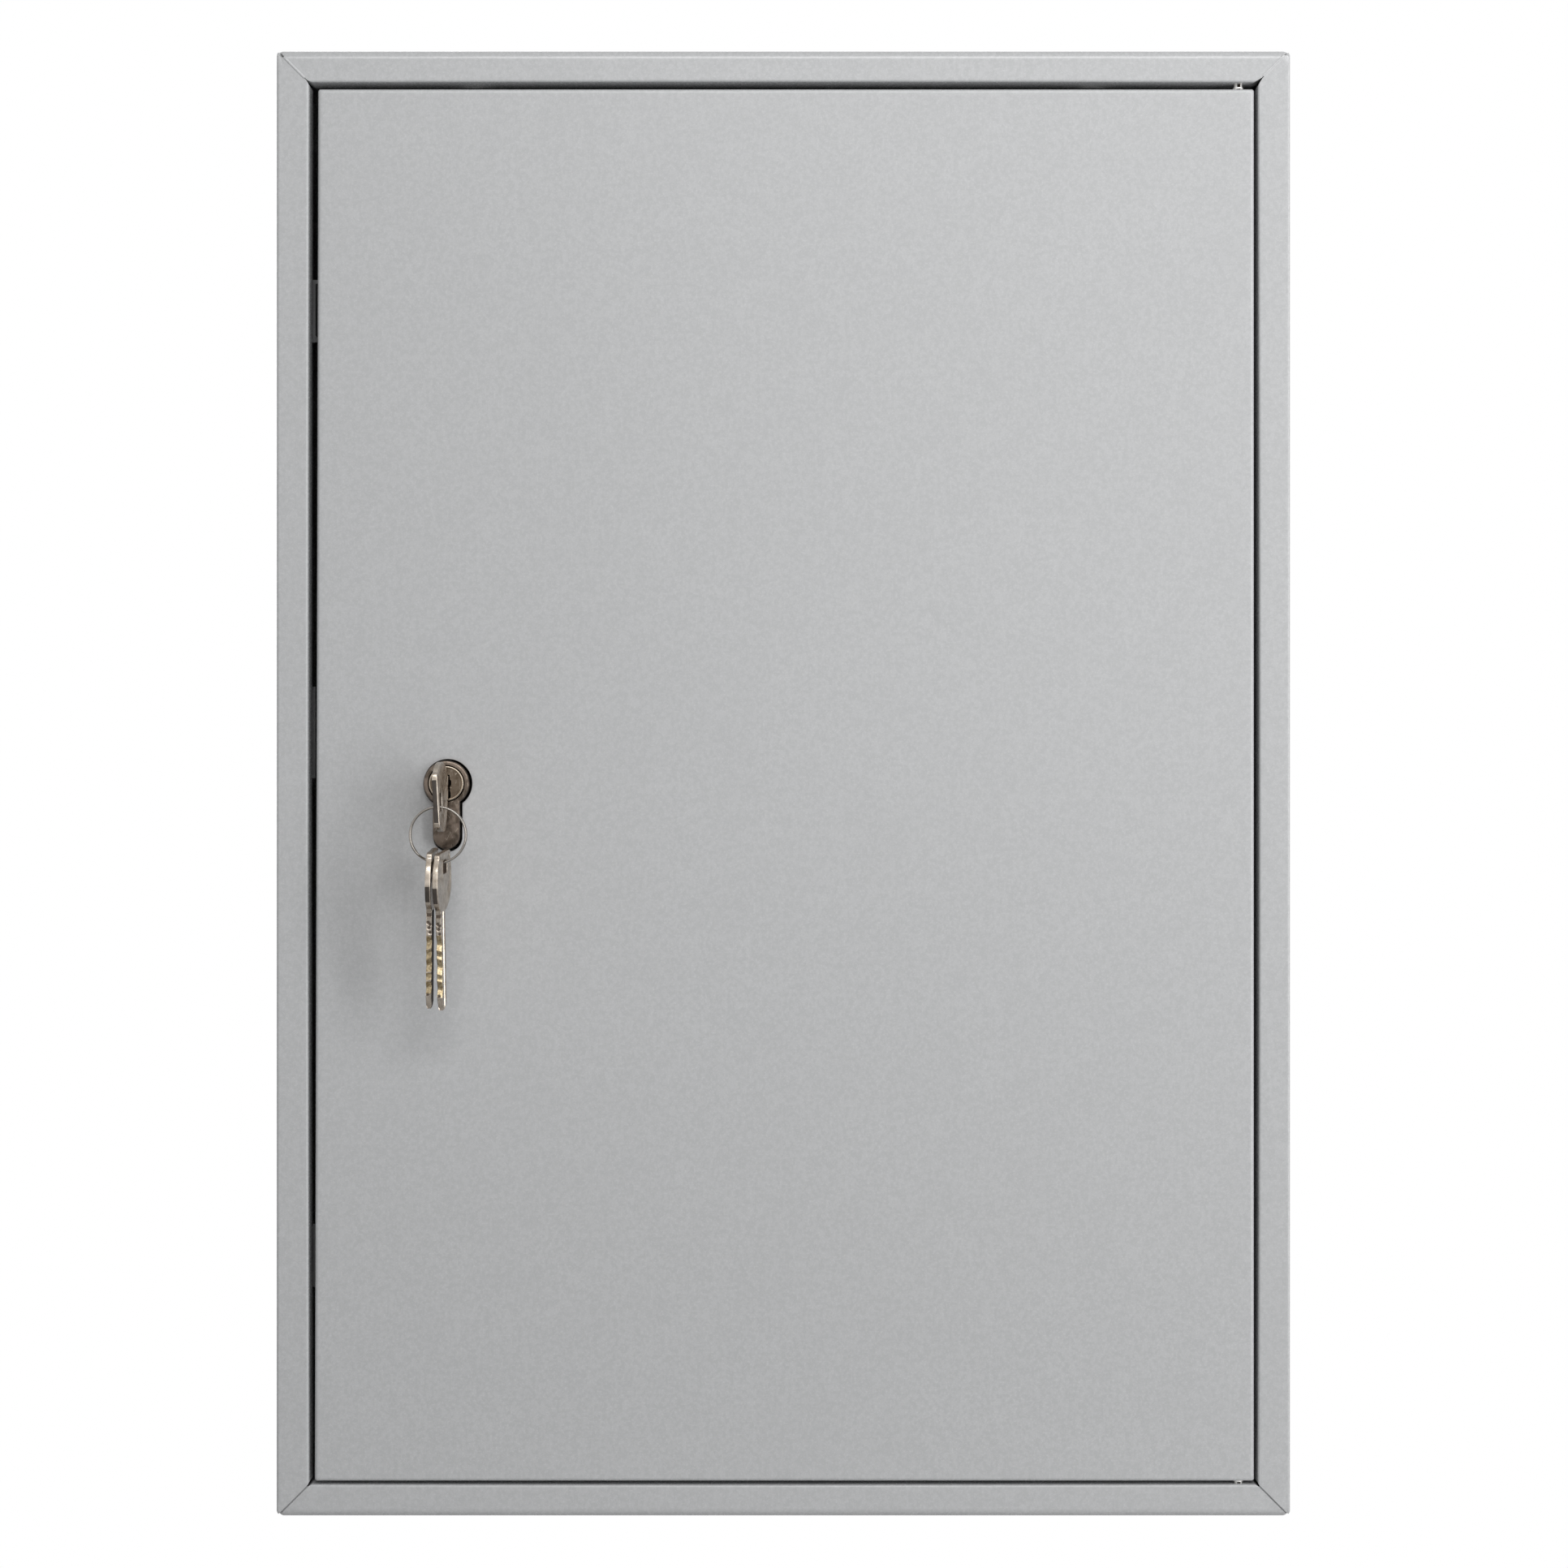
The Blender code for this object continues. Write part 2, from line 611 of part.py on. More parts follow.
def build_strike_and_stops(paint, rubber):
    """The bracket that the bolt goes behind, and two door stops with rubber buffers."""
    strike_y = BOLT_FRONT_Y - STRIKE_BOLT_GAP - STRIKE_SHEET
    strike = angle_bracket(STRIKE_REACH, STRIKE_LEG, STRIKE_SHEET, strike_y,
                           BOLT_LOW - STRIKE_MARGIN, BOLT_TOP + STRIKE_MARGIN)
    finish_object("strike_bracket", strike, paint)
    stop_y = DOOR_REAR_Y + SEAT + BUFFER_THICKNESS + SEAT
    for name, side in (("upper", 1), ("lower", -1)):
        centre = side * (HALF_HEIGHT - STOP_FROM_END)
        stop = angle_bracket(STOP_REACH, STOP_LEG, SHEET, stop_y, centre - STOP_HEIGHT / 2,
                             centre + STOP_HEIGHT / 2)
        finish_object(f"door_stop_{name}", stop, paint)
        right = -WALL_INNER_X + SEAT + STOP_REACH
        buffer = box(right - BUFFER_WIDTH, right, DOOR_REAR_Y + SEAT, stop_y - SEAT,
                     centre - BUFFER_HEIGHT / 2, centre + BUFFER_HEIGHT / 2)
        finish_object(f"stop_buffer_{name}", buffer, rubber)


def rectangle_loop(x0, x1, z0, z1, y, inset=0.0):
    """Four corners of a rectangle that faces front, drawn in by an inset."""
    return [(x0 + inset, y, z0 + inset), (x1 - inset, y, z0 + inset),
            (x1 - inset, y, z1 - inset), (x0 + inset, y, z1 - inset)]


def profile_outline(grow_round, grow_web, steps):
    """The lock's outline about the plug: a circle over a web with a round foot."""
    radius = CYLINDER_RADIUS + grow_round
    half_web = CYLINDER_WEB / 2 + grow_web
    foot = -CYLINDER_BOTTOM - grow_web + half_web
    corner = math.asin(half_web / radius)
    outline = circle_points(radius, 2 * steps, -math.pi / 2 + corner, math.tau - 2 * corner)
    lower = circle_points(half_web, steps, math.pi, math.pi)
    return outline + [(across, foot + up) for across, up in lower]


def profile_prism(grow_round, grow_web, y0, y1):
    """The lock's outline carried from one depth to another."""
    outline = profile_outline(grow_round, grow_web, SMALL_SEGMENTS)
    return loft([[(LOCK_X + x, y, z) for x, z in outline] for y in (y0, y1)])


def build_door(paint, hinge):
    """The folded door tray with the lock's cut-out and two pin holes."""
    rectangle = (DOOR_LEFT, DOOR_RIGHT, DOOR_BOTTOM, DOOR_TOP)
    loops = [rectangle_loop(*rectangle, DOOR_INNER_Y, SHEET),
             rectangle_loop(*rectangle, DOOR_REAR_Y, SHEET),
             rectangle_loop(*rectangle, DOOR_REAR_Y)]
    for step in range(FOLD_STEPS + 1):
        angle = math.pi / 2 * step / FOLD_STEPS
        depth = FRONT_Y + FOLD * (1 - math.sin(angle))
        loops.append(rectangle_loop(*rectangle, depth, FOLD * (1 - math.cos(angle))))
    door = finish_object("door_panel", loft(loops), paint, hinge)
    cut(door, profile_prism(CUTOUT_ROUND_CLEARANCE, CUTOUT_WEB_CLEARANCE, FRONT_Y - CUT_OVERRUN,
                            DOOR_INNER_Y + CUT_OVERRUN), hinge)
    radius = PIN_DIAMETER / 2 + PIN_HOLE_CLEARANCE
    reach = SHEET / 2 + CUT_OVERRUN
    for middle in (DOOR_TOP - SHEET / 2, DOOR_BOTTOM + SHEET / 2):
        profile = ((-reach, radius), (reach, radius))
        cut(door, turned(profile, "Z", (PIN_X, PIN_Y, middle), SMALL_SEGMENTS), hinge)


def stud_places():
    """Places of the four studs in the lock case's ears."""
    places = []
    for x in (CASE_X0 + STUD_INSET, CASE_X1 - STUD_INSET):
        for z in (CASE_ABOVE + CASE_EAR / 2, -CASE_BELOW - CASE_EAR / 2):
            places.append((x, z))
    return places


def build_lock_case(zinc, hinge):
    """The lock case behind the door: a pressed hat with ears, on studs with nuts."""
    inner = (CASE_X0 + SHEET, CASE_X1 - SHEET, SHEET - CASE_BELOW, CASE_ABOVE - SHEET)
    wall = (CASE_X0, CASE_X1, -CASE_BELOW, CASE_ABOVE)
    ears = (CASE_X0 - CASE_LIP, CASE_X1 + CASE_LIP, -CASE_BELOW - CASE_EAR, CASE_ABOVE + CASE_EAR)
    ear_y = CASE_FRONT_Y + SHEET
    loops = [rectangle_loop(*inner, CASE_PLATE_Y), rectangle_loop(*inner, CASE_FRONT_Y),
             rectangle_loop(*ears, CASE_FRONT_Y), rectangle_loop(*ears, ear_y),
             rectangle_loop(*wall, ear_y), rectangle_loop(*wall, CASE_REAR_Y - FOLD),
             rectangle_loop(*wall, CASE_REAR_Y, FOLD)]
    case = finish_object("lock_case", loft(loops), zinc, hinge)
    cut(case, profile_prism(SEAT, SEAT, CASE_PLATE_Y - CUT_OVERRUN, CASE_REAR_Y + CUT_OVERRUN), hinge)
    reach = BOLT_SLIDE_CLEARANCE
    cut(case, box(CASE_X0 - CUT_OVERRUN, CASE_X0 + SHEET + CUT_OVERRUN, BOLT_FRONT_Y - reach,
                  BOLT_REAR_Y + reach, BOLT_LOW - reach, BOLT_TOP + reach), hinge)
    screw_hole = CYLINDER_SCREW_DIAMETER / 2 + CYLINDER_SCREW_HOLE_CLEARANCE
    profile = ((-CUT_OVERRUN, screw_hole), (SHEET + CUT_OVERRUN, screw_hole))
    centre = (CASE_X0, CAM_CENTRE_Y, -CYLINDER_SCREW_BELOW)
    cut(case, turned(profile, "X", centre, SMALL_SEGMENTS), hinge)
    tail_hole = GUIDE_TAIL_DIAMETER / 2 + SEAT
    for x in GUIDE_XS:
        profile = ((-CUT_OVERRUN, tail_hole), (SHEET + CUT_OVERRUN, tail_hole))
        cut(case, turned(profile, "Y", (x, CASE_PLATE_Y, GUIDE_Z), SMALL_SEGMENTS), hinge)
    stud_hole = STUD_DIAMETER / 2 + STUD_HOLE_CLEARANCE
    for x, z in stud_places():
        profile = ((-CUT_OVERRUN, stud_hole), (SHEET + CUT_OVERRUN, stud_hole))
        cut(case, turned(profile, "Y", (x, CASE_FRONT_Y, z), SMALL_SEGMENTS), hinge)


def build_studs_and_nuts(steel, hinge):
    """Four weld studs on the door, each with a hexagon nut on the lock case's ear."""
    nut_radius = NUT_ACROSS_FLATS / 2 / math.cos(math.pi / 6)
    bore = circle_points(STUD_DIAMETER / 2 + STUD_HOLE_CLEARANCE, SMALL_SEGMENTS)
    hexagon = circle_points(nut_radius, 6)
    nut_y = CASE_FRONT_Y + SHEET + SEAT + NUT_HEIGHT / 2
    for number, (x, z) in enumerate(stud_places(), start=1):
        radius = STUD_DIAMETER / 2
        stud = turned(((0, radius), (STUD_LENGTH, radius)), "Y", (x, DOOR_INNER_Y + SEAT, z),
                      SMALL_SEGMENTS)
        shade_round(finish_object(f"case_stud_{number}", stud, steel, hinge))
        place = Matrix.Translation((x, 0, z)) @ facing_front(nut_y)
        nut = plate(hexagon, [bore], NUT_HEIGHT, place)
        finish_object(f"case_nut_{number}", nut, steel, hinge)


def build_cylinder(nickel, steel, hinge):
    """The half profile cylinder's body and the screw that fixes it from the case's side."""
    body = finish_object("cylinder_body", profile_prism(0, 0, CYLINDER_FACE_Y, CYLINDER_REAR_Y),
                         nickel, hinge)
    bore = PLUG_RADIUS + TURN_CLEARANCE
    profile = ((CYLINDER_FACE_Y - CUT_OVERRUN, bore), (CAM_CENTRE_Y, bore))
    cut(body, turned(profile, "Y", (LOCK_X, 0, 0), ROUND_SEGMENTS), hinge)
    side = CYLINDER_RADIUS + CUT_OVERRUN
    cut(body, box(LOCK_X - side, LOCK_X + side, CAM_FRONT_Y, CAM_REAR_Y,
                  CAM_BRIDGE - CYLINDER_BOTTOM, side), hinge)
    hole = CYLINDER_SCREW_DIAMETER / 2 + CYLINDER_SCREW_HOLE_CLEARANCE
    profile = ((-side, hole), (side, hole))
    centre = (LOCK_X, CAM_CENTRE_Y, -CYLINDER_SCREW_BELOW)
    cut(body, turned(profile, "X", centre, SMALL_SEGMENTS), hinge)
    shank = CYLINDER_SCREW_DIAMETER / 2
    head = CYLINDER_SCREW_HEAD_DIAMETER / 2
    length = CASE_LEFT + CYLINDER_WEB / 2 + CUT_OVERRUN
    profile = ((-SEAT - CYLINDER_SCREW_HEAD_HEIGHT, head), (-SEAT, head), (-SEAT, shank),
               (length, shank))
    centre = (CASE_X0, CAM_CENTRE_Y, -CYLINDER_SCREW_BELOW)
    screw = turned(profile, "X", centre, SMALL_SEGMENTS)
    shade_round(finish_object("cylinder_screw", screw, steel, hinge))


def build_plug(nickel, steel, plug_axis):
    """The plug with its keyway, the cam behind it and the clip that keeps it in."""
    clip_front = CAM_FRONT_Y + SEAT
    clip_rear = clip_front + CLIP_THICKNESS
    groove_front = clip_front - SEAT
    groove_rear = clip_rear + SEAT
    groove = PLUG_RADIUS - CLIP_GROOVE_DEPTH
    rear = CAM_REAR_Y - CAM_END_GAP
    profile = ((CYLINDER_FACE_Y, PLUG_RADIUS), (groove_front, PLUG_RADIUS), (groove_front, groove),
               (groove_rear, groove), (groove_rear, PLUG_RADIUS), (rear, PLUG_RADIUS))
    plug = finish_object("cylinder_plug", turned(profile, "Y", (LOCK_X, 0, 0), ROUND_SEGMENTS),
                         nickel, plug_axis)
    half_width = KEY_THICKNESS / 2 + KEYWAY_CLEARANCE
    half_height = KEY_BLADE_WIDTH / 2 + KEYWAY_CLEARANCE
    cut(plug, box(LOCK_X - half_width, LOCK_X + half_width, CYLINDER_FACE_Y - CUT_OVERRUN,
                  rear + CUT_OVERRUN, -KEY_BLADE_DROP - half_height,
                  -KEY_BLADE_DROP + half_height), plug_axis)
    shade_round(plug)

    cam_front = groove_rear
    half_finger = CAM_FINGER_WIDTH / 2
    corner = math.asin(half_finger / CAM_HUB_RADIUS)
    hub = circle_points(CAM_HUB_RADIUS, ROUND_SEGMENTS, corner, math.tau - 2 * corner)
    tip = ((CAM_FINGER_RADIUS, -half_finger), (CAM_FINGER_RADIUS, half_finger))
    outline = hub + list(tip)
    bore = circle_points(CAM_BORE_RADIUS, ROUND_SEGMENTS)
    turn = Matrix.Rotation(CAM_REST_ANGLE, 4, "Z")
    place = Matrix.Translation((LOCK_X, 0, 0)) @ facing_front((cam_front + rear) / 2) @ turn
    cam = plate(outline, [bore], rear - cam_front, place)
    finish_object("cylinder_cam", cam, steel, plug_axis)

    inner = groove + SEAT
    outer = inner + CLIP_WALL
    start = CLIP_OPENING_ANGLE / 2 - math.pi / 2
    sweep = math.tau - CLIP_OPENING_ANGLE
    outline = circle_points(outer, SMALL_SEGMENTS, start, sweep)
    outline += circle_points(inner, SMALL_SEGMENTS, start, sweep)[::-1]
    place = Matrix.Translation((LOCK_X, 0, 0)) @ facing_front((clip_front + clip_rear) / 2)
    finish_object("plug_circlip", plate(outline, [], CLIP_THICKNESS, place), steel, plug_axis)


def build_bolt(zinc, steel, hinge, slide):
    """The sliding bolt with its cam notch, and the two shouldered guides it runs on."""
    half_slot = GUIDE_DIAMETER / 2 + GUIDE_SLOT_CLEARANCE
    notch_centre = LOCK_X + BOLT_THROW / 2
    notch_left = notch_centre - BOLT_NOTCH_WIDTH / 2
    notch_right = notch_centre + BOLT_NOTCH_WIDTH / 2
    notch_top = BOLT_LOW + BOLT_NOTCH_DEPTH
    outline = [(BOLT_LEFT, BOLT_LOW), (notch_left, BOLT_LOW), (notch_left, notch_top),
               (notch_right, notch_top), (notch_right, BOLT_LOW), (BOLT_RIGHT, BOLT_LOW),
               (BOLT_RIGHT, BOLT_TOP), (BOLT_LEFT, BOLT_TOP)]
    slots = []
    for x in GUIDE_XS:
        slots.append(rounded_rectangle(x - half_slot, x + BOLT_THROW + half_slot, GUIDE_Z - half_slot,
                                       GUIDE_Z + half_slot, half_slot - SEAT, FOLD_STEPS))
    bolt = plate(outline, slots, BOLT_THICKNESS, facing_front(BOLT_CENTRE_Y))
    finish_object("lock_bolt", bolt, zinc, slide)
    for number, x in enumerate(GUIDE_XS, start=1):
        head_rear = BOLT_FRONT_Y - SEAT
        collar = BOLT_REAR_Y + SEAT
        profile = ((head_rear - GUIDE_HEAD_HEIGHT, GUIDE_HEAD_DIAMETER / 2),
                   (head_rear, GUIDE_HEAD_DIAMETER / 2), (head_rear, GUIDE_DIAMETER / 2),
                   (collar, GUIDE_DIAMETER / 2), (collar, GUIDE_COLLAR_DIAMETER / 2),
                   (CASE_PLATE_Y - SEAT, GUIDE_COLLAR_DIAMETER / 2),
                   (CASE_PLATE_Y - SEAT, GUIDE_TAIL_DIAMETER / 2),
                   (CASE_REAR_Y + GUIDE_TAIL_PROUD, GUIDE_TAIL_DIAMETER / 2))
        guide = turned(profile, "Y", (x, 0, GUIDE_Z), SMALL_SEGMENTS)
        shade_round(finish_object(f"bolt_guide_{number}", guide, steel, hinge))


def key_plate(place):
    """One flat key. Local X runs from the bow's end to the tip, and local Y across it."""
    half_bow = KEY_BOW_WIDTH / 2
    blade_low = KEY_BLADE_OFFSET - KEY_BLADE_WIDTH / 2
    blade_high = KEY_BLADE_OFFSET + KEY_BLADE_WIDTH / 2
    outline = [(KEY_BOW_LENGTH * along, -half_bow * width)
               for along, width in BOW_FREE_SIDE_SHARES]
    outline += [(KEY_BOW_LENGTH, blade_low), (KEY_LENGTH - KEY_TIP_SLOPE, blade_low),
                (KEY_LENGTH, blade_low + KEY_TIP_SLOPE), (KEY_LENGTH, blade_high - KEY_TIP_SLOPE)]
    cuts = [(KEY_BOW_LENGTH + KEY_BLADE_LENGTH * along, blade_high - KEY_CUT_DEPTH * depth)
            for along, depth in CUT_SHARES]
    outline += cuts[::-1]
    outline.append((KEY_BOW_LENGTH, blade_high))
    outline += [(KEY_BOW_LENGTH * along, half_bow * width)
                for along, width in BOW_BLADE_SIDE_SHARES[::-1]]
    hole = rounded_rectangle(KEY_HOLE_FROM_END, KEY_HOLE_FROM_END + KEY_HOLE_LENGTH,
                             -KEY_HOLE_OFFSET - KEY_HOLE_WIDTH / 2,
                             -KEY_HOLE_OFFSET + KEY_HOLE_WIDTH / 2, KEY_HOLE_CORNER, FOLD_STEPS)
    return plate(outline, [hole], KEY_THICKNESS, place)


def spare_pivot(offset):
    """Where the ring's wire crosses a spare key hung a little left of the ring's centre."""
    drop = math.sqrt(RING_RADIUS ** 2 - offset ** 2)
    return (LOCK_X - offset, RING_Y, RING_CENTRE_Z - drop)


def spare_rise(offset):
    """How far the ring's wire climbs across half the thickness of a key hung off its centre."""
    return KEY_THICKNESS / 2 * math.tan(math.asin(abs(offset) / RING_RADIUS))


def build_keys(nickel, key_slide, spare_axes):
    """The key in the lock and the two spare keys that hang from its ring."""
    along_y = Matrix(((0, 0, 1, 0), (1, 0, 0, 0), (0, 1, 0, 0), (0, 0, 0, 1)))
    place = Matrix.Translation((LOCK_X, KEY_END_Y, KEY_BOW_Z)) @ along_y
    finish_object("key_in_lock", key_plate(place), nickel, key_slide)
    hung = Matrix(((0, 0, 1, 0), (0, -1, 0, 0), (-1, 0, 0, 0), (0, 0, 0, 1)))
    tilt = Matrix.Rotation(SPARE_TILT, 4, "X")
    turns = (Matrix.Rotation(SPARE_1_LEAN, 4, "Y"), Matrix.Rotation(SPARE_2_TURN, 4, "Z"))
    offsets = (SPARE_1_OFFSET, SPARE_2_OFFSET)
    for number, (axis, turn, offset) in enumerate(zip(spare_axes, turns, offsets), start=1):
        end = KEY_HOLE_FROM_END + SPARE_SEAT + spare_rise(offset)
        hook = Matrix.Translation((0, -KEY_HOLE_OFFSET, end))
        place = Matrix.Translation(spare_pivot(offset)) @ turn @ tilt @ hook @ hung
        finish_object(f"spare_key_{number}", key_plate(place), nickel, axis)


def build_ring(spring_steel, ring_axis):
    """The split ring, its two turns side by side, as one ring with an oblong section."""
    half_flat = (RING_TURNS_WIDTH - RING_WIRE) / 2
    section = []
    for across, along in circle_points(RING_WIRE / 2, RING_SECTION_SEGMENTS, math.pi / 8):
        section.append((across, along + math.copysign(half_flat, along)))
    loops = []
    for out_x, out_z in circle_points(1, ROUND_SEGMENTS):
        loop = []
        for across, along in section:
            reach = RING_RADIUS + across
            loop.append((LOCK_X + out_x * reach, RING_Y + along, RING_CENTRE_Z + out_z * reach))
        loops.append(loop)
    shade_round(finish_object("key_ring", loft(loops, closed=True), spring_steel, ring_axis))


def main():
    """Build the cabinet, then everything that rides on its door."""
    clear_scene()
    paint = make_material("powder_coat", (0.46, 0.47, 0.48), 0.55, 0.0)
    zinc = make_material("zinc_plated_steel", (0.55, 0.56, 0.57), 0.35, 0.9)
    steel = make_material("bright_steel", (0.60, 0.60, 0.60), 0.30, 1.0)
    nickel = make_material("nickel_plated_brass", (0.42, 0.38, 0.32), 0.32, 1.0)
    spring_steel = make_material("nickel_plated_spring_steel", (0.62, 0.60, 0.57), 0.2, 1.0)
    rubber = make_material("black_rubber", (0.02, 0.02, 0.02), 0.8, 0.0)
    card = make_material("white_card", (0.80, 0.80, 0.78), 0.7, 0.0)

    build_members(paint)
    build_back_panel(paint)
    build_hinge_pins(steel)
    build_rails(zinc)
    build_hook_bars(zinc, card)
    build_strike_and_stops(paint, rubber)

    hinge = make_pivot("door_hinge_axis", (PIN_X, PIN_Y, 0))
    plug_axis = make_pivot("plug_axis", (LOCK_X, CYLINDER_FACE_Y, 0), hinge)
    bolt_slide = make_pivot("bolt_slide", (BOLT_LEFT, BOLT_CENTRE_Y, BOLT_LOW), hinge)
    key_slide = make_pivot("key_slide", (LOCK_X, KEY_END_Y, 0), plug_axis)
    ring_axis = make_pivot("ring_axis", (LOCK_X, RING_Y, RING_TOP_Z), key_slide)
    spare_axes = [make_pivot(f"spare_axis_{number}", spare_pivot(offset), ring_axis)
                  for number, offset in enumerate((SPARE_1_OFFSET, SPARE_2_OFFSET), start=1)]

    build_door(paint, hinge)
    build_lock_case(zinc, hinge)
    build_studs_and_nuts(steel, hinge)
    build_cylinder(nickel, steel, hinge)
    build_plug(nickel, steel, plug_axis)
    build_bolt(zinc, steel, hinge, bolt_slide)
    build_keys(nickel, key_slide, spare_axes)
    build_ring(spring_steel, ring_axis)


main()
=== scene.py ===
"""Dressed scene of the wall-hung key cabinet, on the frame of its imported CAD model.

X points right, Y points back to the wall and Z points up, in metres. Sizes are given in
metres too, and named after the piece that they belong to.
"""

from __future__ import annotations

import json
import logging
import math
from dataclasses import dataclass, field
from enum import Enum
from typing import Any, Mapping, Sequence

import bmesh
import bpy
import numpy as np
from mathutils import Matrix, Vector

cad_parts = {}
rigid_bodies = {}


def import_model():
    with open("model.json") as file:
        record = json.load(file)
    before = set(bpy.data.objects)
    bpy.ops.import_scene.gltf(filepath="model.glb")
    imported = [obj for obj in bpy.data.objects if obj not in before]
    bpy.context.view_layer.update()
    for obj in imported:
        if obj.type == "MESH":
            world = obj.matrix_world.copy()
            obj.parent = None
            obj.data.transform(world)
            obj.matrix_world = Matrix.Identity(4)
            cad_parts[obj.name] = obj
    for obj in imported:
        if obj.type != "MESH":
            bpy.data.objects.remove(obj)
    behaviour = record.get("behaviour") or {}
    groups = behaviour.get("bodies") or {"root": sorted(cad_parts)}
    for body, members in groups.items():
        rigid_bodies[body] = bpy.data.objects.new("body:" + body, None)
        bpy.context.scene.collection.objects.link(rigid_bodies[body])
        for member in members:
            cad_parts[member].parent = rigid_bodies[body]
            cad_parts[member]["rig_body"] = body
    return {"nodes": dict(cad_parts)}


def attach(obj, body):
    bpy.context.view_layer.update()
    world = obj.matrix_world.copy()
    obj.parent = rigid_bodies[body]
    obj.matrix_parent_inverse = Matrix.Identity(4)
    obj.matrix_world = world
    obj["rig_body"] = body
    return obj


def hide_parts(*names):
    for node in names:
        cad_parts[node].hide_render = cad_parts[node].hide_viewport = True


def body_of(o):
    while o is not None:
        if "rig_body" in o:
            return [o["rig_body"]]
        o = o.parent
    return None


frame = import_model()

log = logging.getLogger("key_cabinet")

MERGE_DISTANCE = 1e-6
MILLIMETRE = 0.001
SHARP_DEGREES = 35.0
EASED_DEGREES = 32.0
FLAT_DEGREES = 1.0


def linear(hex_colour: str) -> tuple[float, float, float, float]:
    """Turn an sRGB hex colour into linear red, green, blue and alpha.

    Args:
        hex_colour: Six hex digits after a hash sign.

    Returns:
        The linear colour, with an alpha of 1.
    """
    code = np.array([int(hex_colour[place:place + 2], 16) for place in (1, 3, 5)]) / 255.0
    light = np.where(code <= 0.04045, code / 12.92, ((code + 0.055) / 1.055) ** 2.4)
    return (*(float(part) for part in light), 1.0)


def per_size(millimetres: float) -> float:
    """Noise scale whose features are about that many millimetres wide, on metre coordinates."""
    return 1.0 / (millimetres * MILLIMETRE)


def add_node(tree: bpy.types.NodeTree, kind: str, links: Mapping[Any, Any] | None = None,
             **settings: Any) -> bpy.types.Node:
    """Add a node with its settings, and set or link its inputs.

    Args:
        tree: The material's or world's node tree.
        kind: The node's type name.
        links: For each input, by name or number, the value to set, or what to link to it: a
            socket, or a node whose first output is meant.
        settings: Values of the node's own properties.

    Returns:
        The new node.
    """
    node = tree.nodes.new(kind)
    for name, value in settings.items():
        setattr(node, name, value)
    for name, value in (links or {}).items():
        if isinstance(value, bpy.types.Node):
            value = value.outputs[0]
        if isinstance(value, bpy.types.NodeSocket):
            tree.links.new(value, node.inputs[name])
        else:
            node.inputs[name].default_value = value
    return node


class MixSocket(Enum):
    """Numbers of a Mix node's colour sockets, whose names are shared with other sockets."""

    FACTOR = 0
    FIRST = 6
    SECOND = 7
    RESULT = 2


FACTOR, FIRST, SECOND, RESULT = (socket.value for socket in MixSocket)


@dataclass(frozen=True)
class Finish:
    """A surface finish. Its method dress adds what one material has beyond a plain shader."""

    name: str
    colour: str
    roughness: float
    metallic: float = 0.0

    def material(self) -> bpy.types.Material:
        """Make the finish's material, or give the one that is already made.

        Returns:
            The node material.
        """
        known = bpy.data.materials.get(self.name)
        if known:
            return known
        made = bpy.data.materials.new(self.name)
        made.use_nodes = True
        tree = made.node_tree
        shader = tree.nodes["Principled BSDF"]
        shader.inputs["Base Color"].default_value = linear(self.colour)
        shader.inputs["Roughness"].default_value = self.roughness
        shader.inputs["Metallic"].default_value = self.metallic
        place = add_node(tree, "ShaderNodeTexCoord").outputs["Object"]
        for name, source in self.dress(tree, place).items():
            tree.links.new(source, shader.inputs[name])
        return made

    def dress(self, tree: bpy.types.NodeTree,
              place: bpy.types.NodeSocket) -> dict[str, bpy.types.NodeSocket]:
        """Add the finish's pattern nodes.

        Args:
            tree: The material's node tree.
            place: The point on the piece, in metres.

        Returns:
            For each input of the shader that a pattern drives, the socket that drives it.
        """
        return {}


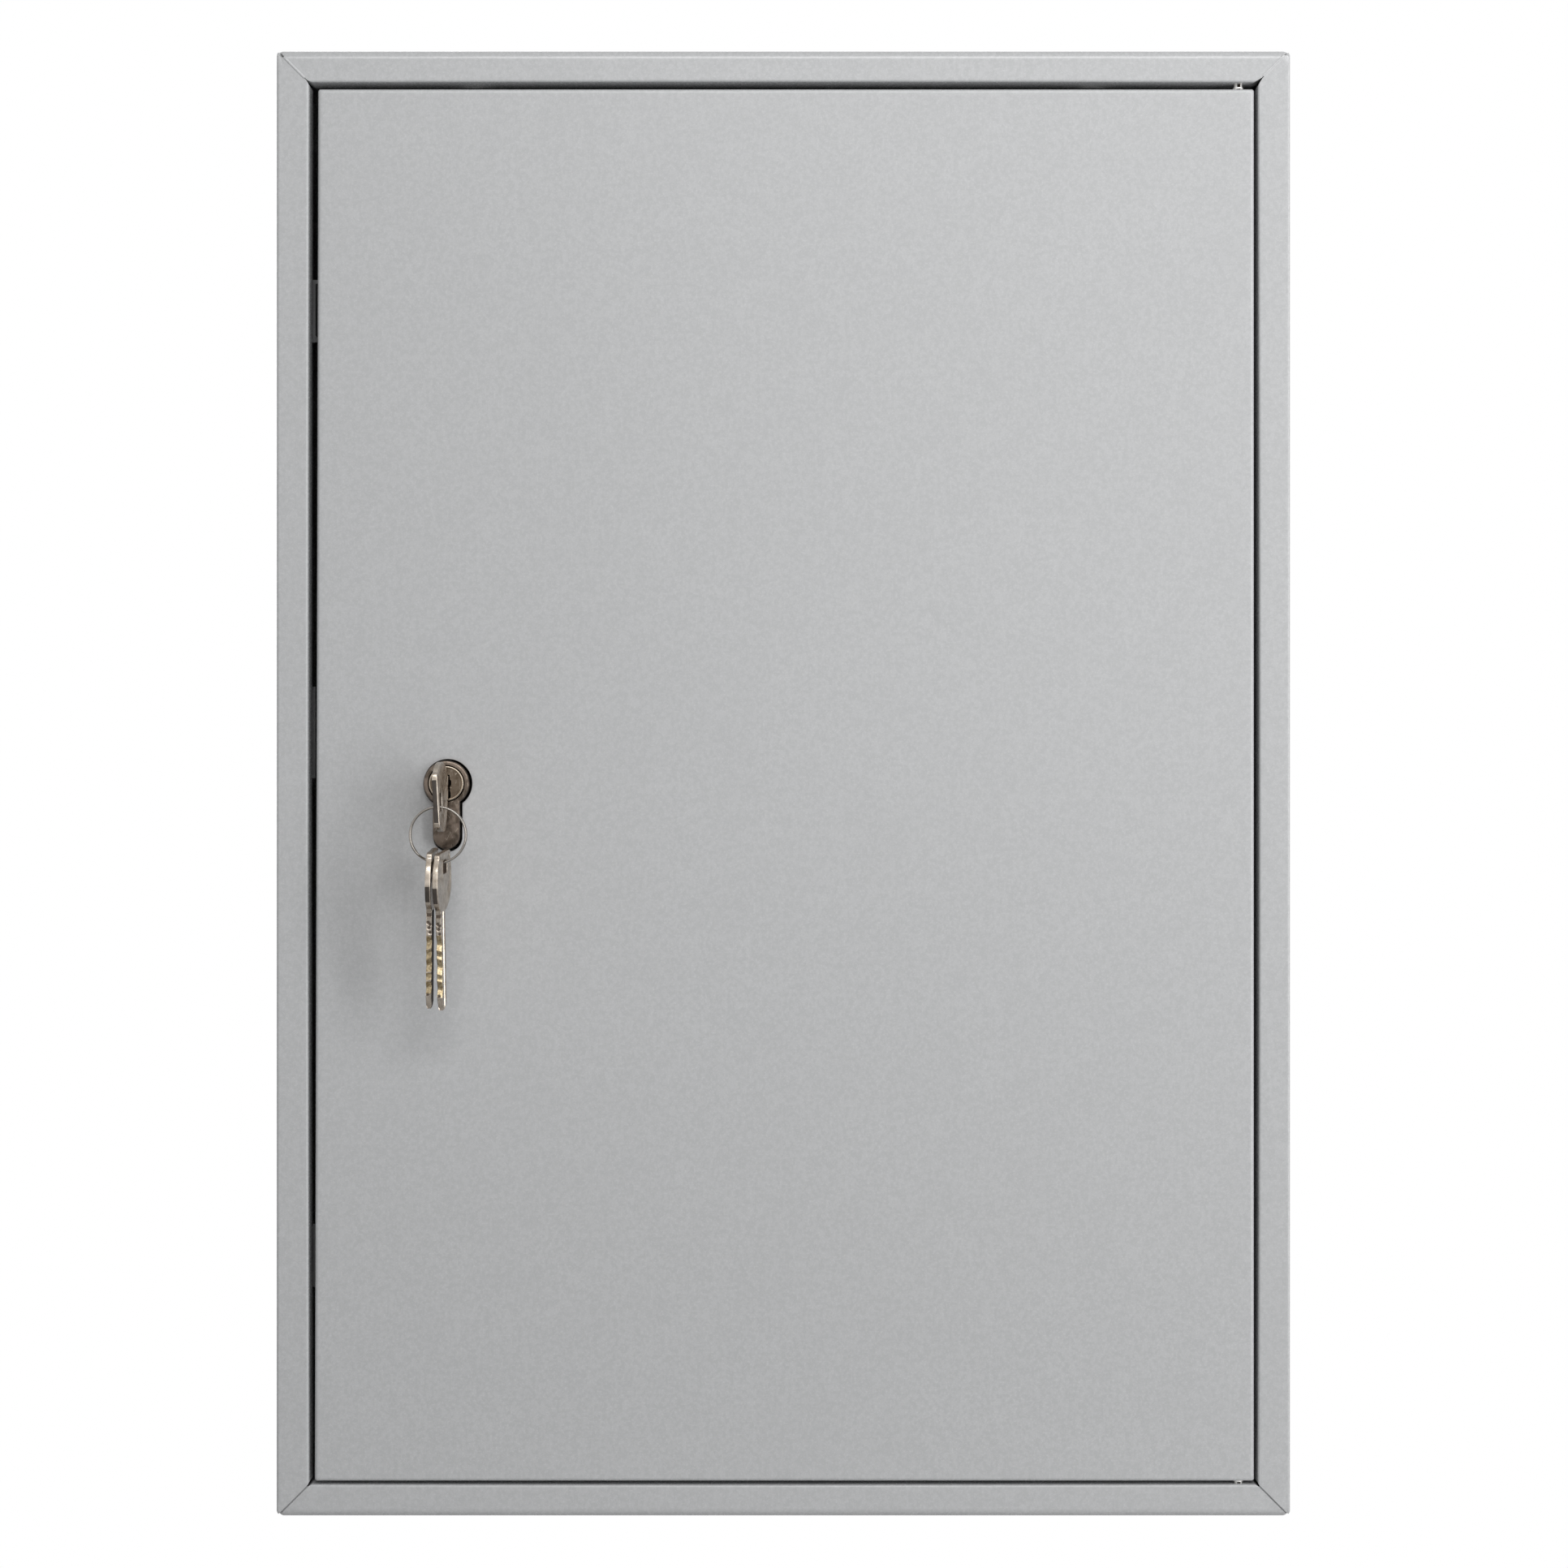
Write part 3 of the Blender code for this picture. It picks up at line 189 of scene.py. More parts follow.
@dataclass(frozen=True)
class PowderCoat(Finish):
    """Polyester powder coat, sprayed and baked: a satin skin with a fine orange peel.

    The peel breaks up reflections at 2 mm, a longer swell makes the highlights on the folds
    wander, and the film's thickness gives the colour a faint cloudiness.
    """

    cloud_colour: str = "#BCBDBE"
    fleck_colour: str = "#B6B7B8"
    fleck_mm: float = 1.5
    cloud_mm: float = 16.0
    cloud_rough: float = 0.62
    relief_mm: tuple[tuple[float, float, float], ...] = ((38.0, 0.06, 1.0), (2.2, 0.030, 1.0),
                                                         (0.7, 0.008, 2.0))

    def dress(self, tree: bpy.types.NodeTree,
              place: bpy.types.NodeSocket) -> dict[str, bpy.types.NodeSocket]:
        """Lay the swell, the peel and the grain on each other, and add clouds and flecks."""
        under: dict[str, Any] = {}
        for width, height, detail in self.relief_mm:
            grain = add_node(tree, "ShaderNodeTexNoise", {"Vector": place, "Scale": per_size(width),
                                                          "Detail": detail})
            bump = add_node(tree, "ShaderNodeBump", {"Height": grain, "Strength": 1.0,
                                                     "Distance": height * MILLIMETRE} | under)
            under = {"Normal": bump}
        noise = add_node(tree, "ShaderNodeTexNoise", {
            "Vector": place, "Scale": per_size(self.cloud_mm), "Detail": 4.0,
            "Roughness": self.cloud_rough})
        cloud = add_node(tree, "ShaderNodeMapRange", {"Value": noise, "From Min": 0.35,
                                                      "From Max": 0.68})
        base = add_node(tree, "ShaderNodeMix", {
            FACTOR: cloud, FIRST: linear(self.colour), SECOND: linear(self.cloud_colour)},
            data_type="RGBA")
        speck = add_node(tree, "ShaderNodeTexNoise", {
            "Vector": place, "Scale": per_size(self.fleck_mm), "Detail": 1.0})
        fleck = add_node(tree, "ShaderNodeMapRange", {"Value": speck, "From Min": 0.35,
                                                      "From Max": 0.65})
        colour = add_node(tree, "ShaderNodeMix", {
            FACTOR: fleck, FIRST: base.outputs[RESULT], SECOND: linear(self.fleck_colour)},
            data_type="RGBA")
        gloss = add_node(tree, "ShaderNodeMapRange", {
            "Value": grain, "From Min": 0.3, "From Max": 0.7, "To Min": self.roughness - 0.04,
            "To Max": self.roughness + 0.05})
        return {"Base Color": colour.outputs[RESULT], "Roughness": gloss.outputs[0],
                "Normal": bump.outputs[0]}


@dataclass(frozen=True)
class ZincPlate(Finish):
    """Electro-plated zinc with a clear passivate on cold-rolled steel: cool grey and half bright.

    Rolling leaves long faint streaks, and the passivate tints the plate in soft patches.
    """

    tint: str = "#A9AFA8"
    streak: tuple[float, float, float] = (1.0, 1.0, 1.0)
    patch_mm: float = 9.0
    grain_mm: float = 0.6
    grain_height_mm: float = 0.006

    def dress(self, tree: bpy.types.NodeTree,
              place: bpy.types.NodeSocket) -> dict[str, bpy.types.NodeSocket]:
        """Add the tinted patches, the rolled streaks and a dulled sheen."""
        drawn = add_node(tree, "ShaderNodeMapping", {"Vector": place, "Scale": self.streak})
        grain = add_node(tree, "ShaderNodeTexNoise", {
            "Vector": drawn, "Scale": per_size(self.grain_mm), "Detail": 4.0, "Roughness": 0.6})
        noise = add_node(tree, "ShaderNodeTexNoise", {
            "Vector": place, "Scale": per_size(self.patch_mm), "Detail": 3.0})
        patch = add_node(tree, "ShaderNodeMapRange", {"Value": noise, "From Min": 0.35,
                                                      "From Max": 0.7})
        colour = add_node(tree, "ShaderNodeMix", {
            FACTOR: patch, FIRST: linear(self.colour), SECOND: linear(self.tint)},
            data_type="RGBA")
        gloss = add_node(tree, "ShaderNodeMapRange", {
            "Value": grain, "From Min": 0.25, "From Max": 0.75, "To Min": self.roughness - 0.09,
            "To Max": self.roughness + 0.12})
        bump = add_node(tree, "ShaderNodeBump", {"Height": grain, "Strength": 1.0,
                                                 "Distance": self.grain_height_mm * MILLIMETRE})
        return {"Base Color": colour.outputs[RESULT], "Roughness": gloss.outputs[0],
                "Normal": bump.outputs[0]}


@dataclass(frozen=True)
class WornNickel(Finish):
    """Nickel plate on brass, handled for years: satin, stained in patches, scratched, with the
    brass showing warm where the plate has worn thin. The base colours given to it are darkened as a
    painted reflection of dark surroundings.
    """

    stain: str = "#4A423A"
    brush: tuple[float, float, float] = (1.0, 1.0, 0.06)
    brush_mm: float = 0.16
    brush_height_mm: float = 0.004
    stain_mm: float = 3.2
    scratch_mm: float = 1.9
    scratch_colour: str = "#D8CDBE"
    scratch_width: float = 0.012
    scratch_share: float = 0.75
    scratch_turn: tuple[float, float, float] = (0.0, 0.6, 0.0)
    scratch_stretch: tuple[float, float, float] = (1.0, 1.0, 0.22)

    def scratches(self, tree: bpy.types.NodeTree, place: bpy.types.NodeSocket) -> bpy.types.Node:
        """Draw fine scratches: the edges of long drawn cells, kept here and there."""
        drawn = add_node(tree, "ShaderNodeMapping", {
            "Vector": place, "Rotation": self.scratch_turn, "Scale": self.scratch_stretch})
        cells = add_node(tree, "ShaderNodeTexVoronoi", {
            "Vector": drawn, "Scale": per_size(self.scratch_mm), "Randomness": 1.0},
            feature="DISTANCE_TO_EDGE")
        edge = add_node(tree, "ShaderNodeMapRange", {
            "Value": cells.outputs["Distance"], "From Max": self.scratch_width, "To Min": 1.0,
            "To Max": 0.0})
        thin = add_node(tree, "ShaderNodeTexNoise", {
            "Vector": place, "Scale": per_size(self.scratch_mm * 1.3), "Detail": 1.0})
        kept = add_node(tree, "ShaderNodeMapRange", {
            "Value": thin, "From Min": 0.50, "From Max": 0.62, "To Max": self.scratch_share})
        return add_node(tree, "ShaderNodeMath", {0: edge, 1: kept}, operation="MULTIPLY")

    def dress(self, tree: bpy.types.NodeTree,
              place: bpy.types.NodeSocket) -> dict[str, bpy.types.NodeSocket]:
        """Add brush lines, stains and scratches."""
        drawn = add_node(tree, "ShaderNodeMapping", {"Vector": place, "Scale": self.brush})
        brushed = add_node(tree, "ShaderNodeTexNoise", {
            "Vector": drawn, "Scale": per_size(self.brush_mm), "Detail": 3.0, "Roughness": 0.6})
        noise = add_node(tree, "ShaderNodeTexNoise", {
            "Vector": place, "Scale": per_size(self.stain_mm), "Detail": 4.0, "Roughness": 0.6})
        stained = add_node(tree, "ShaderNodeMapRange", {"Value": noise, "From Min": 0.38,
                                                        "From Max": 0.66})
        metal = add_node(tree, "ShaderNodeMix", {
            FACTOR: stained, FIRST: linear(self.colour), SECOND: linear(self.stain)},
            data_type="RGBA")
        colour = add_node(tree, "ShaderNodeMix", {
            FACTOR: self.scratches(tree, place), FIRST: metal.outputs[RESULT],
            SECOND: linear(self.scratch_colour)}, data_type="RGBA")
        gloss = add_node(tree, "ShaderNodeMapRange", {
            "Value": brushed, "From Min": 0.3, "From Max": 0.7, "To Min": self.roughness - 0.08,
            "To Max": self.roughness + 0.10})
        bump = add_node(tree, "ShaderNodeBump", {"Height": brushed, "Strength": 1.0,
                                                 "Distance": self.brush_height_mm * MILLIMETRE})
        return {"Base Color": colour.outputs[RESULT], "Roughness": gloss.outputs[0],
                "Normal": bump.outputs[0]}


@dataclass(frozen=True)
class BrightMetal(Finish):
    """Turned, drawn or milled metal that is left bright, with fine tool lines along one way."""

    lines: tuple[float, float, float] = (1.0, 1.0, 0.1)
    line_mm: float = 0.12
    line_height_mm: float = 0.003
    mottle: str | None = None
    mottle_mm: float = 2.4
    least_roughness: float = 0.05

    def dress(self, tree: bpy.types.NodeTree,
              place: bpy.types.NodeSocket) -> dict[str, bpy.types.NodeSocket]:
        """Add tool lines and, where there is a second colour, a mottle of it."""
        drawn = add_node(tree, "ShaderNodeMapping", {"Vector": place, "Scale": self.lines})
        tool = add_node(tree, "ShaderNodeTexNoise", {
            "Vector": drawn, "Scale": per_size(self.line_mm), "Detail": 3.0})
        gloss = add_node(tree, "ShaderNodeMapRange", {
            "Value": tool, "From Min": 0.3, "From Max": 0.7,
            "To Min": max(self.roughness - 0.06, self.least_roughness),
            "To Max": self.roughness + 0.08})
        bump = add_node(tree, "ShaderNodeBump", {"Height": tool, "Strength": 1.0,
                                                 "Distance": self.line_height_mm * MILLIMETRE})
        driven = {"Roughness": gloss.outputs[0], "Normal": bump.outputs[0]}
        if self.mottle:
            noise = add_node(tree, "ShaderNodeTexNoise", {
                "Vector": place, "Scale": per_size(self.mottle_mm), "Detail": 4.0})
            share = add_node(tree, "ShaderNodeMapRange", {"Value": noise, "From Min": 0.36,
                                                          "From Max": 0.66})
            colour = add_node(tree, "ShaderNodeMix", {
                FACTOR: share, FIRST: linear(self.colour), SECOND: linear(self.mottle)},
                data_type="RGBA")
            driven["Base Color"] = colour.outputs[RESULT]
        return driven


@dataclass(frozen=True)
class SoftFinish(Finish):
    """Rubber, card, ink or grime: no gloss to speak of, and a fine mottled skin."""

    mottle: str = "#000000"
    mottle_mm: float = 1.2
    skin_mm: float = 0.4
    skin_height_mm: float = 0.006

    def dress(self, tree: bpy.types.NodeTree,
              place: bpy.types.NodeSocket) -> dict[str, bpy.types.NodeSocket]:
        """Add the mottle and the skin's fine relief."""
        noise = add_node(tree, "ShaderNodeTexNoise", {
            "Vector": place, "Scale": per_size(self.mottle_mm), "Detail": 3.0})
        share = add_node(tree, "ShaderNodeMapRange", {"Value": noise, "From Min": 0.35,
                                                      "From Max": 0.65})
        colour = add_node(tree, "ShaderNodeMix", {
            FACTOR: share, FIRST: linear(self.colour), SECOND: linear(self.mottle)},
            data_type="RGBA")
        skin = add_node(tree, "ShaderNodeTexNoise", {"Vector": place,
                                                     "Scale": per_size(self.skin_mm)})
        bump = add_node(tree, "ShaderNodeBump", {"Height": skin, "Strength": 1.0,
                                                 "Distance": self.skin_height_mm * MILLIMETRE})
        return {"Base Color": colour.outputs[RESULT], "Normal": bump.outputs[0]}


# Light grey polyester powder coat: satin, so the folds catch a soft line of light
LIGHT_GREY_COAT = PowderCoat("light_grey_powder_coat", "#BEBFC0", 0.25)
# Blue-passivated zinc on pressed strip, rolled along X for the bars and along Z for the rails
BAR_ZINC = ZincPlate("zinc_plate_rolled_across", "#BFC4C8", 0.34, 1.0, streak=(0.05, 1.0, 1.0))
RAIL_ZINC = ZincPlate("zinc_plate_rolled_upright", "#BCC1C5", 0.36, 1.0, streak=(1.0, 1.0, 0.05))
# The hinge pins' steel is tumbled before it is rolled: a satin, its colour raised to near white as
# a painted highlight, so it shows bright in the dark gap
PIN_STEEL = BrightMetal("pin_steel_painted_highlight", "#F2F1EE", 0.62, 1.0, lines=(1.0, 1.0, 0.2))
# Turned and drawn steel left bright under oil
BRIGHT_STEEL = BrightMetal("bright_steel", "#CFCDC9", 0.22, 1.0, lines=(1.0, 1.0, 0.2))
# The cylinder's brushed nickel: its brown-grey base colour is a painted reflection of dark
# surroundings, and its edges still flash
CYLINDER_NICKEL = WornNickel("worn_nickel_cylinder_painted_dark_reflection", "#786C62", 0.34, 1.0)
# The plug's face is turned and more scratched where keys miss the slot; its browner base colour is
# a painted reflection of dark surroundings
PLUG_NICKEL = WornNickel("scratched_nickel_plug_painted_dark_reflection", "#74695D", 0.38, 1.0, stain="#564B3F",
                         brush=(0.2, 1.0, 0.2), scratch_mm=1.3, scratch_width=0.03)
# The rim that the plug's key hand polishes bright
RIM_NICKEL = BrightMetal("polished_nickel_rim", "#A3988A", 0.24, 1.0, lines=(1.0, 0.3, 1.0))
# Punched key blanks are tumbled and nickel plated: warm white metal with soft scratches
KEY_NICKEL = BrightMetal("tumbled_key_nickel", "#BDB3A7", 0.27, 1.0, lines=(1.0, 1.0, 0.12),
                         line_mm=0.2, mottle="#9E9386", mottle_mm=3.0)
# Painted shade on the keys: the dark reflection along part of a bow's near edge, and the shadow on
# a spare blade's flank
KEY_PAINTED_SHADE = SoftFinish("painted_shade_on_key_nickel", "#3D352E", 0.6, mottle="#2B251F", mottle_mm=2.6)
# Cutting the key bares its brass, and the cutter leaves it bright and streaked
CUT_BRASS = BrightMetal("cut_key_brass", "#B9AA8C", 0.38, 1.0, lines=(1.0, 0.1, 1.0),
                        line_mm=0.15, mottle="#87765A", mottle_mm=0.8)
# Polished nickel on spring wire, bright enough to mirror the lamps; its base colour is darkened to
# grey as a painted reflection of dark surroundings
RING_NICKEL = BrightMetal("polished_ring_nickel_painted_dark_reflection", "#938E88", 0.17, 1.0, lines=(1.0, 1.0, 1.0),
                          line_mm=0.5, line_height_mm=0.001)
# Moulded black EPDM rubber, dull and dusty
BUFFER_RUBBER = SoftFinish("moulded_black_rubber", "#1C1C1D", 0.82, mottle="#262627")
# Coated white card, printed in one dark ink
STRIP_CARD = SoftFinish("coated_white_card", "#E9E8E3", 0.6, mottle="#E2E1DB", mottle_mm=5.0)
STRIP_INK = SoftFinish("dark_print_ink", "#26282B", 0.5, mottle="#2E3033", skin_height_mm=0.002)
# Dark brown for hollows: the keys' slot, dimples and hole walls are darkened, and the hinge pins'
# bores get painted shade
DARK_HOLLOWS_AND_PAINTED_SHADE = SoftFinish("dark_hollows_and_painted_shade", "#463B32", 0.7, mottle="#574B40", mottle_mm=0.4)
# Matt white-painted floor of the studio
FLOOR_MATT = SoftFinish("matt_white_floor_paint", "#E2E2E2", 0.85, mottle="#E0E0E0", mottle_mm=60.0)


class Slot(Enum):
    """The record's material slots."""

    PAINT = "powder_coat"
    ZINC = "zinc_plate"
    STEEL = "bright_steel"
    LOCK = "lock_nickel"
    KEY = "key_nickel"
    RING = "ring_steel"
    RUBBER = "buffer_rubber"
    CARD = "number_card"


@dataclass
class Surface:
    """Points and faces of one piece, gathered from grids before they become a mesh."""

    points: list[np.ndarray] = field(default_factory=list)
    faces: list[tuple[int, ...]] = field(default_factory=list)
    marks: list[int] = field(default_factory=list)
    count: int = 0

    def grid(self, points: np.ndarray, wrap_rows: bool = False, wrap_columns: bool = False,
             mark: int | np.ndarray = 0) -> "Surface":
        """Add a surface with a quad between each four neighbouring points of a grid.

        Args:
            points: Places by row, column and axis.
            wrap_rows: Join the last row to the first.
            wrap_columns: Join the last column to the first.
            mark: Number of the finish, for all quads or for each.

        Returns:
            The surface itself.
        """
        rows, columns = points.shape[:2]
        index = self.count + np.arange(rows * columns).reshape(rows, columns)
        if wrap_rows:
            index = np.vstack([index, index[:1]])
        if wrap_columns:
            index = np.hstack([index, index[:, :1]])
        quads = np.stack([index[:-1, :-1], index[1:, :-1], index[1:, 1:], index[:-1, 1:]], axis=-1)
        marks = np.broadcast_to(mark, quads.shape[:2]).reshape(-1)
        self.points.append(points.reshape(-1, 3))
        self.faces += [tuple(quad) for quad in quads.reshape(-1, 4).tolist()]
        self.marks += marks.tolist()
        self.count += rows * columns
        return self

    def cap(self, loop: np.ndarray, mark: int = 0) -> "Surface":
        """Close a flat loop of points with one face."""
        self.points.append(loop)
        self.faces.append(tuple(range(self.count, self.count + len(loop))))
        self.marks.append(mark)
        self.count += len(loop)
        return self

    def cover(self, mesh_points: np.ndarray, faces: Sequence[Sequence[int]],
              mark: int = 0) -> "Surface":
        """Add faces that another tool made, such as the fill of a printed figure."""
        self.points.append(mesh_points)
        self.faces += [tuple(self.count + corner for corner in face) for face in faces]
        self.marks += [mark] * len(faces)
        self.count += len(mesh_points)
        return self

    def tube(self, rings: np.ndarray, mark: int = 0) -> "Surface":
        """Add a closed body from rings along a path: the skin, and a face over each end ring."""
        self.grid(rings, wrap_columns=True, mark=mark)
        return self.cap(rings[0], mark).cap(rings[-1], mark)


def add_object(name: str, content: Any) -> bpy.types.Object:
    """Make an object of a mesh, camera or lamp, and put it in the scene."""
    item = bpy.data.objects.new(name, content)
    bpy.context.collection.objects.link(item)
    return item


def close_up(mesh: bpy.types.Mesh, flat_degrees: float = 0.0) -> None:
    """Join a mesh's seams, drop edges that turn less than an angle, and face it outwards."""
    built = bmesh.new()
    built.from_mesh(mesh)
    bmesh.ops.remove_doubles(built, verts=built.verts, dist=MERGE_DISTANCE)
    if flat_degrees:
        bmesh.ops.dissolve_limit(built, angle_limit=math.radians(flat_degrees),
                                 verts=built.verts, edges=built.edges)
    bmesh.ops.recalc_face_normals(built, faces=built.faces)
    built.to_mesh(mesh)
    built.free()


def smooth_and_ride(piece: bpy.types.Object, body: str, replaced: Sequence[str],
                    sharp_degrees: float) -> None:
    """Shade a piece, hang it on the body that it rides on, and hide the CAD nodes that it stands
    for.

    Args:
        piece: The piece's object, at the origin.
        body: The body that it moves with.
        replaced: CAD nodes that it stands for.
        sharp_degrees: Edges that turn more than this stay crisp.
    """
    piece.data.shade_smooth()
    piece.data.set_sharp_from_angle(angle=math.radians(sharp_degrees))
    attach(piece, body)
    if replaced:
        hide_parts(*replaced)
    log.info("%s: %d faces on %s", piece.name, len(piece.data.polygons), body)


def ease_edges(piece: bpy.types.Object, width: float, segments: int = 2) -> None:
    """Break a piece's crisp edges with a narrow bevel, as deburring or plating does."""
    eased = piece.modifiers.new("eased_edges", "BEVEL")
    eased.width = width
    eased.segments = segments
    eased.limit_method = "ANGLE"
    eased.angle_limit = math.radians(EASED_DEGREES)
    eased.harden_normals = True
    eased.use_clamp_overlap = True


def make_piece(name: str, surface: Surface, finishes: Sequence[Finish], body: str,
               replaced: Sequence[str] = (), sharp_degrees: float = SHARP_DEGREES,
               eased: float = 0.0) -> bpy.types.Object:
    """Turn a surface into a closed mesh object with faces that point outwards.

    Args:
        name: The piece's name.
        surface: Its points and faces, in the row frame.
        finishes: Its finishes, in the order of the surface's marks.
        body: The body that it rides on.
        replaced: CAD nodes that it stands for.
        sharp_degrees: Edges that turn more than this stay crisp.
        eased: Width of a bevel on the crisp edges, or 0.

    Returns:
        The piece's object.
    """
    mesh = bpy.data.meshes.new(name)
    mesh.from_pydata(np.concatenate(surface.points).tolist(), [], surface.faces)
    for finish in finishes:
        mesh.materials.append(finish.material())
    mesh.polygons.foreach_set("material_index", surface.marks)
    close_up(mesh)
    piece = add_object(name, mesh)
    smooth_and_ride(piece, body, replaced, sharp_degrees)
    if eased:
        ease_edges(piece, eased)
    return piece


def finish_node(node: str, finish: Finish, eased: float = 0.00018,
                segments: int = 2) -> bpy.types.Object:
    """Stand in for a CAD node with its own shape, whose edges are lightly broken.

    Args:
        node: The CAD node's name.
        finish: Its finish.
        eased: Width of the broken edge.
        segments: Steps round the broken edge.

    Returns:
        The piece's object.
    """
    source = frame["nodes"][node]
    mesh = source.data.copy()
    mesh.materials.clear()
    mesh.materials.append(finish.material())
    close_up(mesh, FLAT_DEGREES)
    mesh.polygons.foreach_set("material_index", [0] * len(mesh.polygons))
    piece = add_object(f"{node}_finished", mesh)
    smooth_and_ride(piece, body_of(source)[0], [node], SHARP_DEGREES)
    ease_edges(piece, eased, segments)
    return piece


def quarter_steps(steps: int, turn: float = math.pi / 2) -> np.ndarray:
    """Angles from 0 to a turn in equal steps, both ends included."""
    return np.linspace(0.0, turn, steps + 1)


def circle(radius: float, segments: int, start: float = 0.0, sweep: float = math.tau) -> np.ndarray:
    """Points (radius times cosine, radius times sine) round a circle, or along an arc of it."""
    full = math.isclose(abs(sweep), math.tau)
    angles = start + sweep * np.arange(segments) / (segments if full else segments - 1)
    return radius * np.column_stack([np.cos(angles), np.sin(angles)])


def at_depth(flat: np.ndarray, depth: float) -> np.ndarray:
    """Places given as (X, Z), set upright at one depth."""
    return np.column_stack([flat[:, 0], np.full(len(flat), depth), flat[:, 1]])


def quarter_round(radius: float, steps: int) -> list[tuple[float, float]]:
    """Insets and depths round an edge: the radius times one less the sine, and the cosine."""
    return [(radius * (1 - math.sin(step)), radius * (1 - math.cos(step)))
            for step in quarter_steps(steps)]


def keyhole_rays(even: int, close: int, radius: float, half_web: float,
                 margin: float) -> np.ndarray:
    """Angles of rays from a lock's axis: even ones, and closer ones over the web."""
    web = math.asin(half_web / radius) + margin
    return np.concatenate([np.linspace(-math.pi, math.pi, even, endpoint=False),
                           -math.pi / 2 + np.linspace(-1, 1, close) * web])


def folded_section(corners: Sequence[Sequence[float]], sheet: float, inside: float,
                   outside: Sequence[float], steps: int) -> tuple[np.ndarray, np.ndarray]:
    """Outer and inner line of a folded sheet, seen end on.

    Each corner of the outer face becomes a quarter circle about a centre that lies one radius
    from both faces. The ray there is the first face's way times the sine of the angle, less
    the second face's way times its cosine. The inner line's quarter circle is about a centre
    that lies the sheet and the inside radius from both faces.

    Args:
        corners: Corners of the outer face, all turning one way by a right angle.
        sheet: The sheet's thickness.
        inside: Radius inside a fold.
        outside: Radius outside each fold.
        steps: Steps round each fold.

    Returns:
        Outer and inner points, matched one to one.
    """
    place = np.array(corners, float)
    way = np.diff(place, axis=0)
    way /= np.linalg.norm(way, axis=1)[:, None]
    angle = quarter_steps(steps)[None, :, None]
    ray = way[:-1, None] * np.sin(angle) - way[1:, None] * np.cos(angle)
    inward = way[1:] - way[:-1]
    reach = np.array(outside, float)[:, None]
    outer = ((place[1:-1] + inward * reach)[:, None] + ray * reach[:, None]).reshape(-1, 2)
    inner = ((place[1:-1] + inward * (sheet + inside))[:, None] + ray * inside).reshape(-1, 2)
    ends_out = place[[0, -1]]
    ends_in = ends_out + np.stack([way[1], -way[-2]]) * sheet
    return (np.vstack([ends_out[:1], outer, ends_out[1:]]),
            np.vstack([ends_in[:1], inner, ends_in[1:]]))


def turned(profile: Sequence[Sequence[float]], centre: Sequence[float],
           segments: int) -> np.ndarray:
    """Rings of a turned shape: each profile point's radius swept round an upright axis.

    Args:
        profile: Pairs of height and radius.
        centre: Where the axis passes, with the height counted from it.
        segments: Points round each ring.

    Returns:
        Places by profile point, by angle and by axis.
    """
    height, radius = np.array(profile, float).T
    across = radius[:, None, None] * circle(1.0, segments)[None]
    rise = np.broadcast_to(height[:, None, None], (*across.shape[:2], 1))
    return np.concatenate([across, rise], axis=-1) + np.array(centre, float)


class Bead(Enum):
    """How a mitre's weld was dressed: its width and its crown above the flange, in millimetres."""

    PROUD = (1.0, 0.26)
    FLUSH = (1.2, 0.16)
    SUNK = (1.0, -0.75)


@dataclass(frozen=True)
class Corner:
    """One mitred corner of the front frame, with the small openings that folding leaves."""

    name: str
    side: int
    end: int
    bead: Bead
    relief: float = 0.0
    relief_from_edge: float = 0.0022
    opening_notch: float = 0.0004
    seam: float = 0.0002


CORNERS = (Corner("top_left", -1, 1, Bead.PROUD, relief=0.00075, relief_from_edge=0.0017,
                  opening_notch=0.0009),
           Corner("top_right", 1, 1, Bead.FLUSH, relief=0.00036, relief_from_edge=0.0008,
                  opening_notch=0.0014, seam=0.0003),
           Corner("bottom_left", -1, -1, Bead.SUNK, seam=0.0008),
           Corner("bottom_right", 1, -1, Bead.SUNK, seam=0.0008))


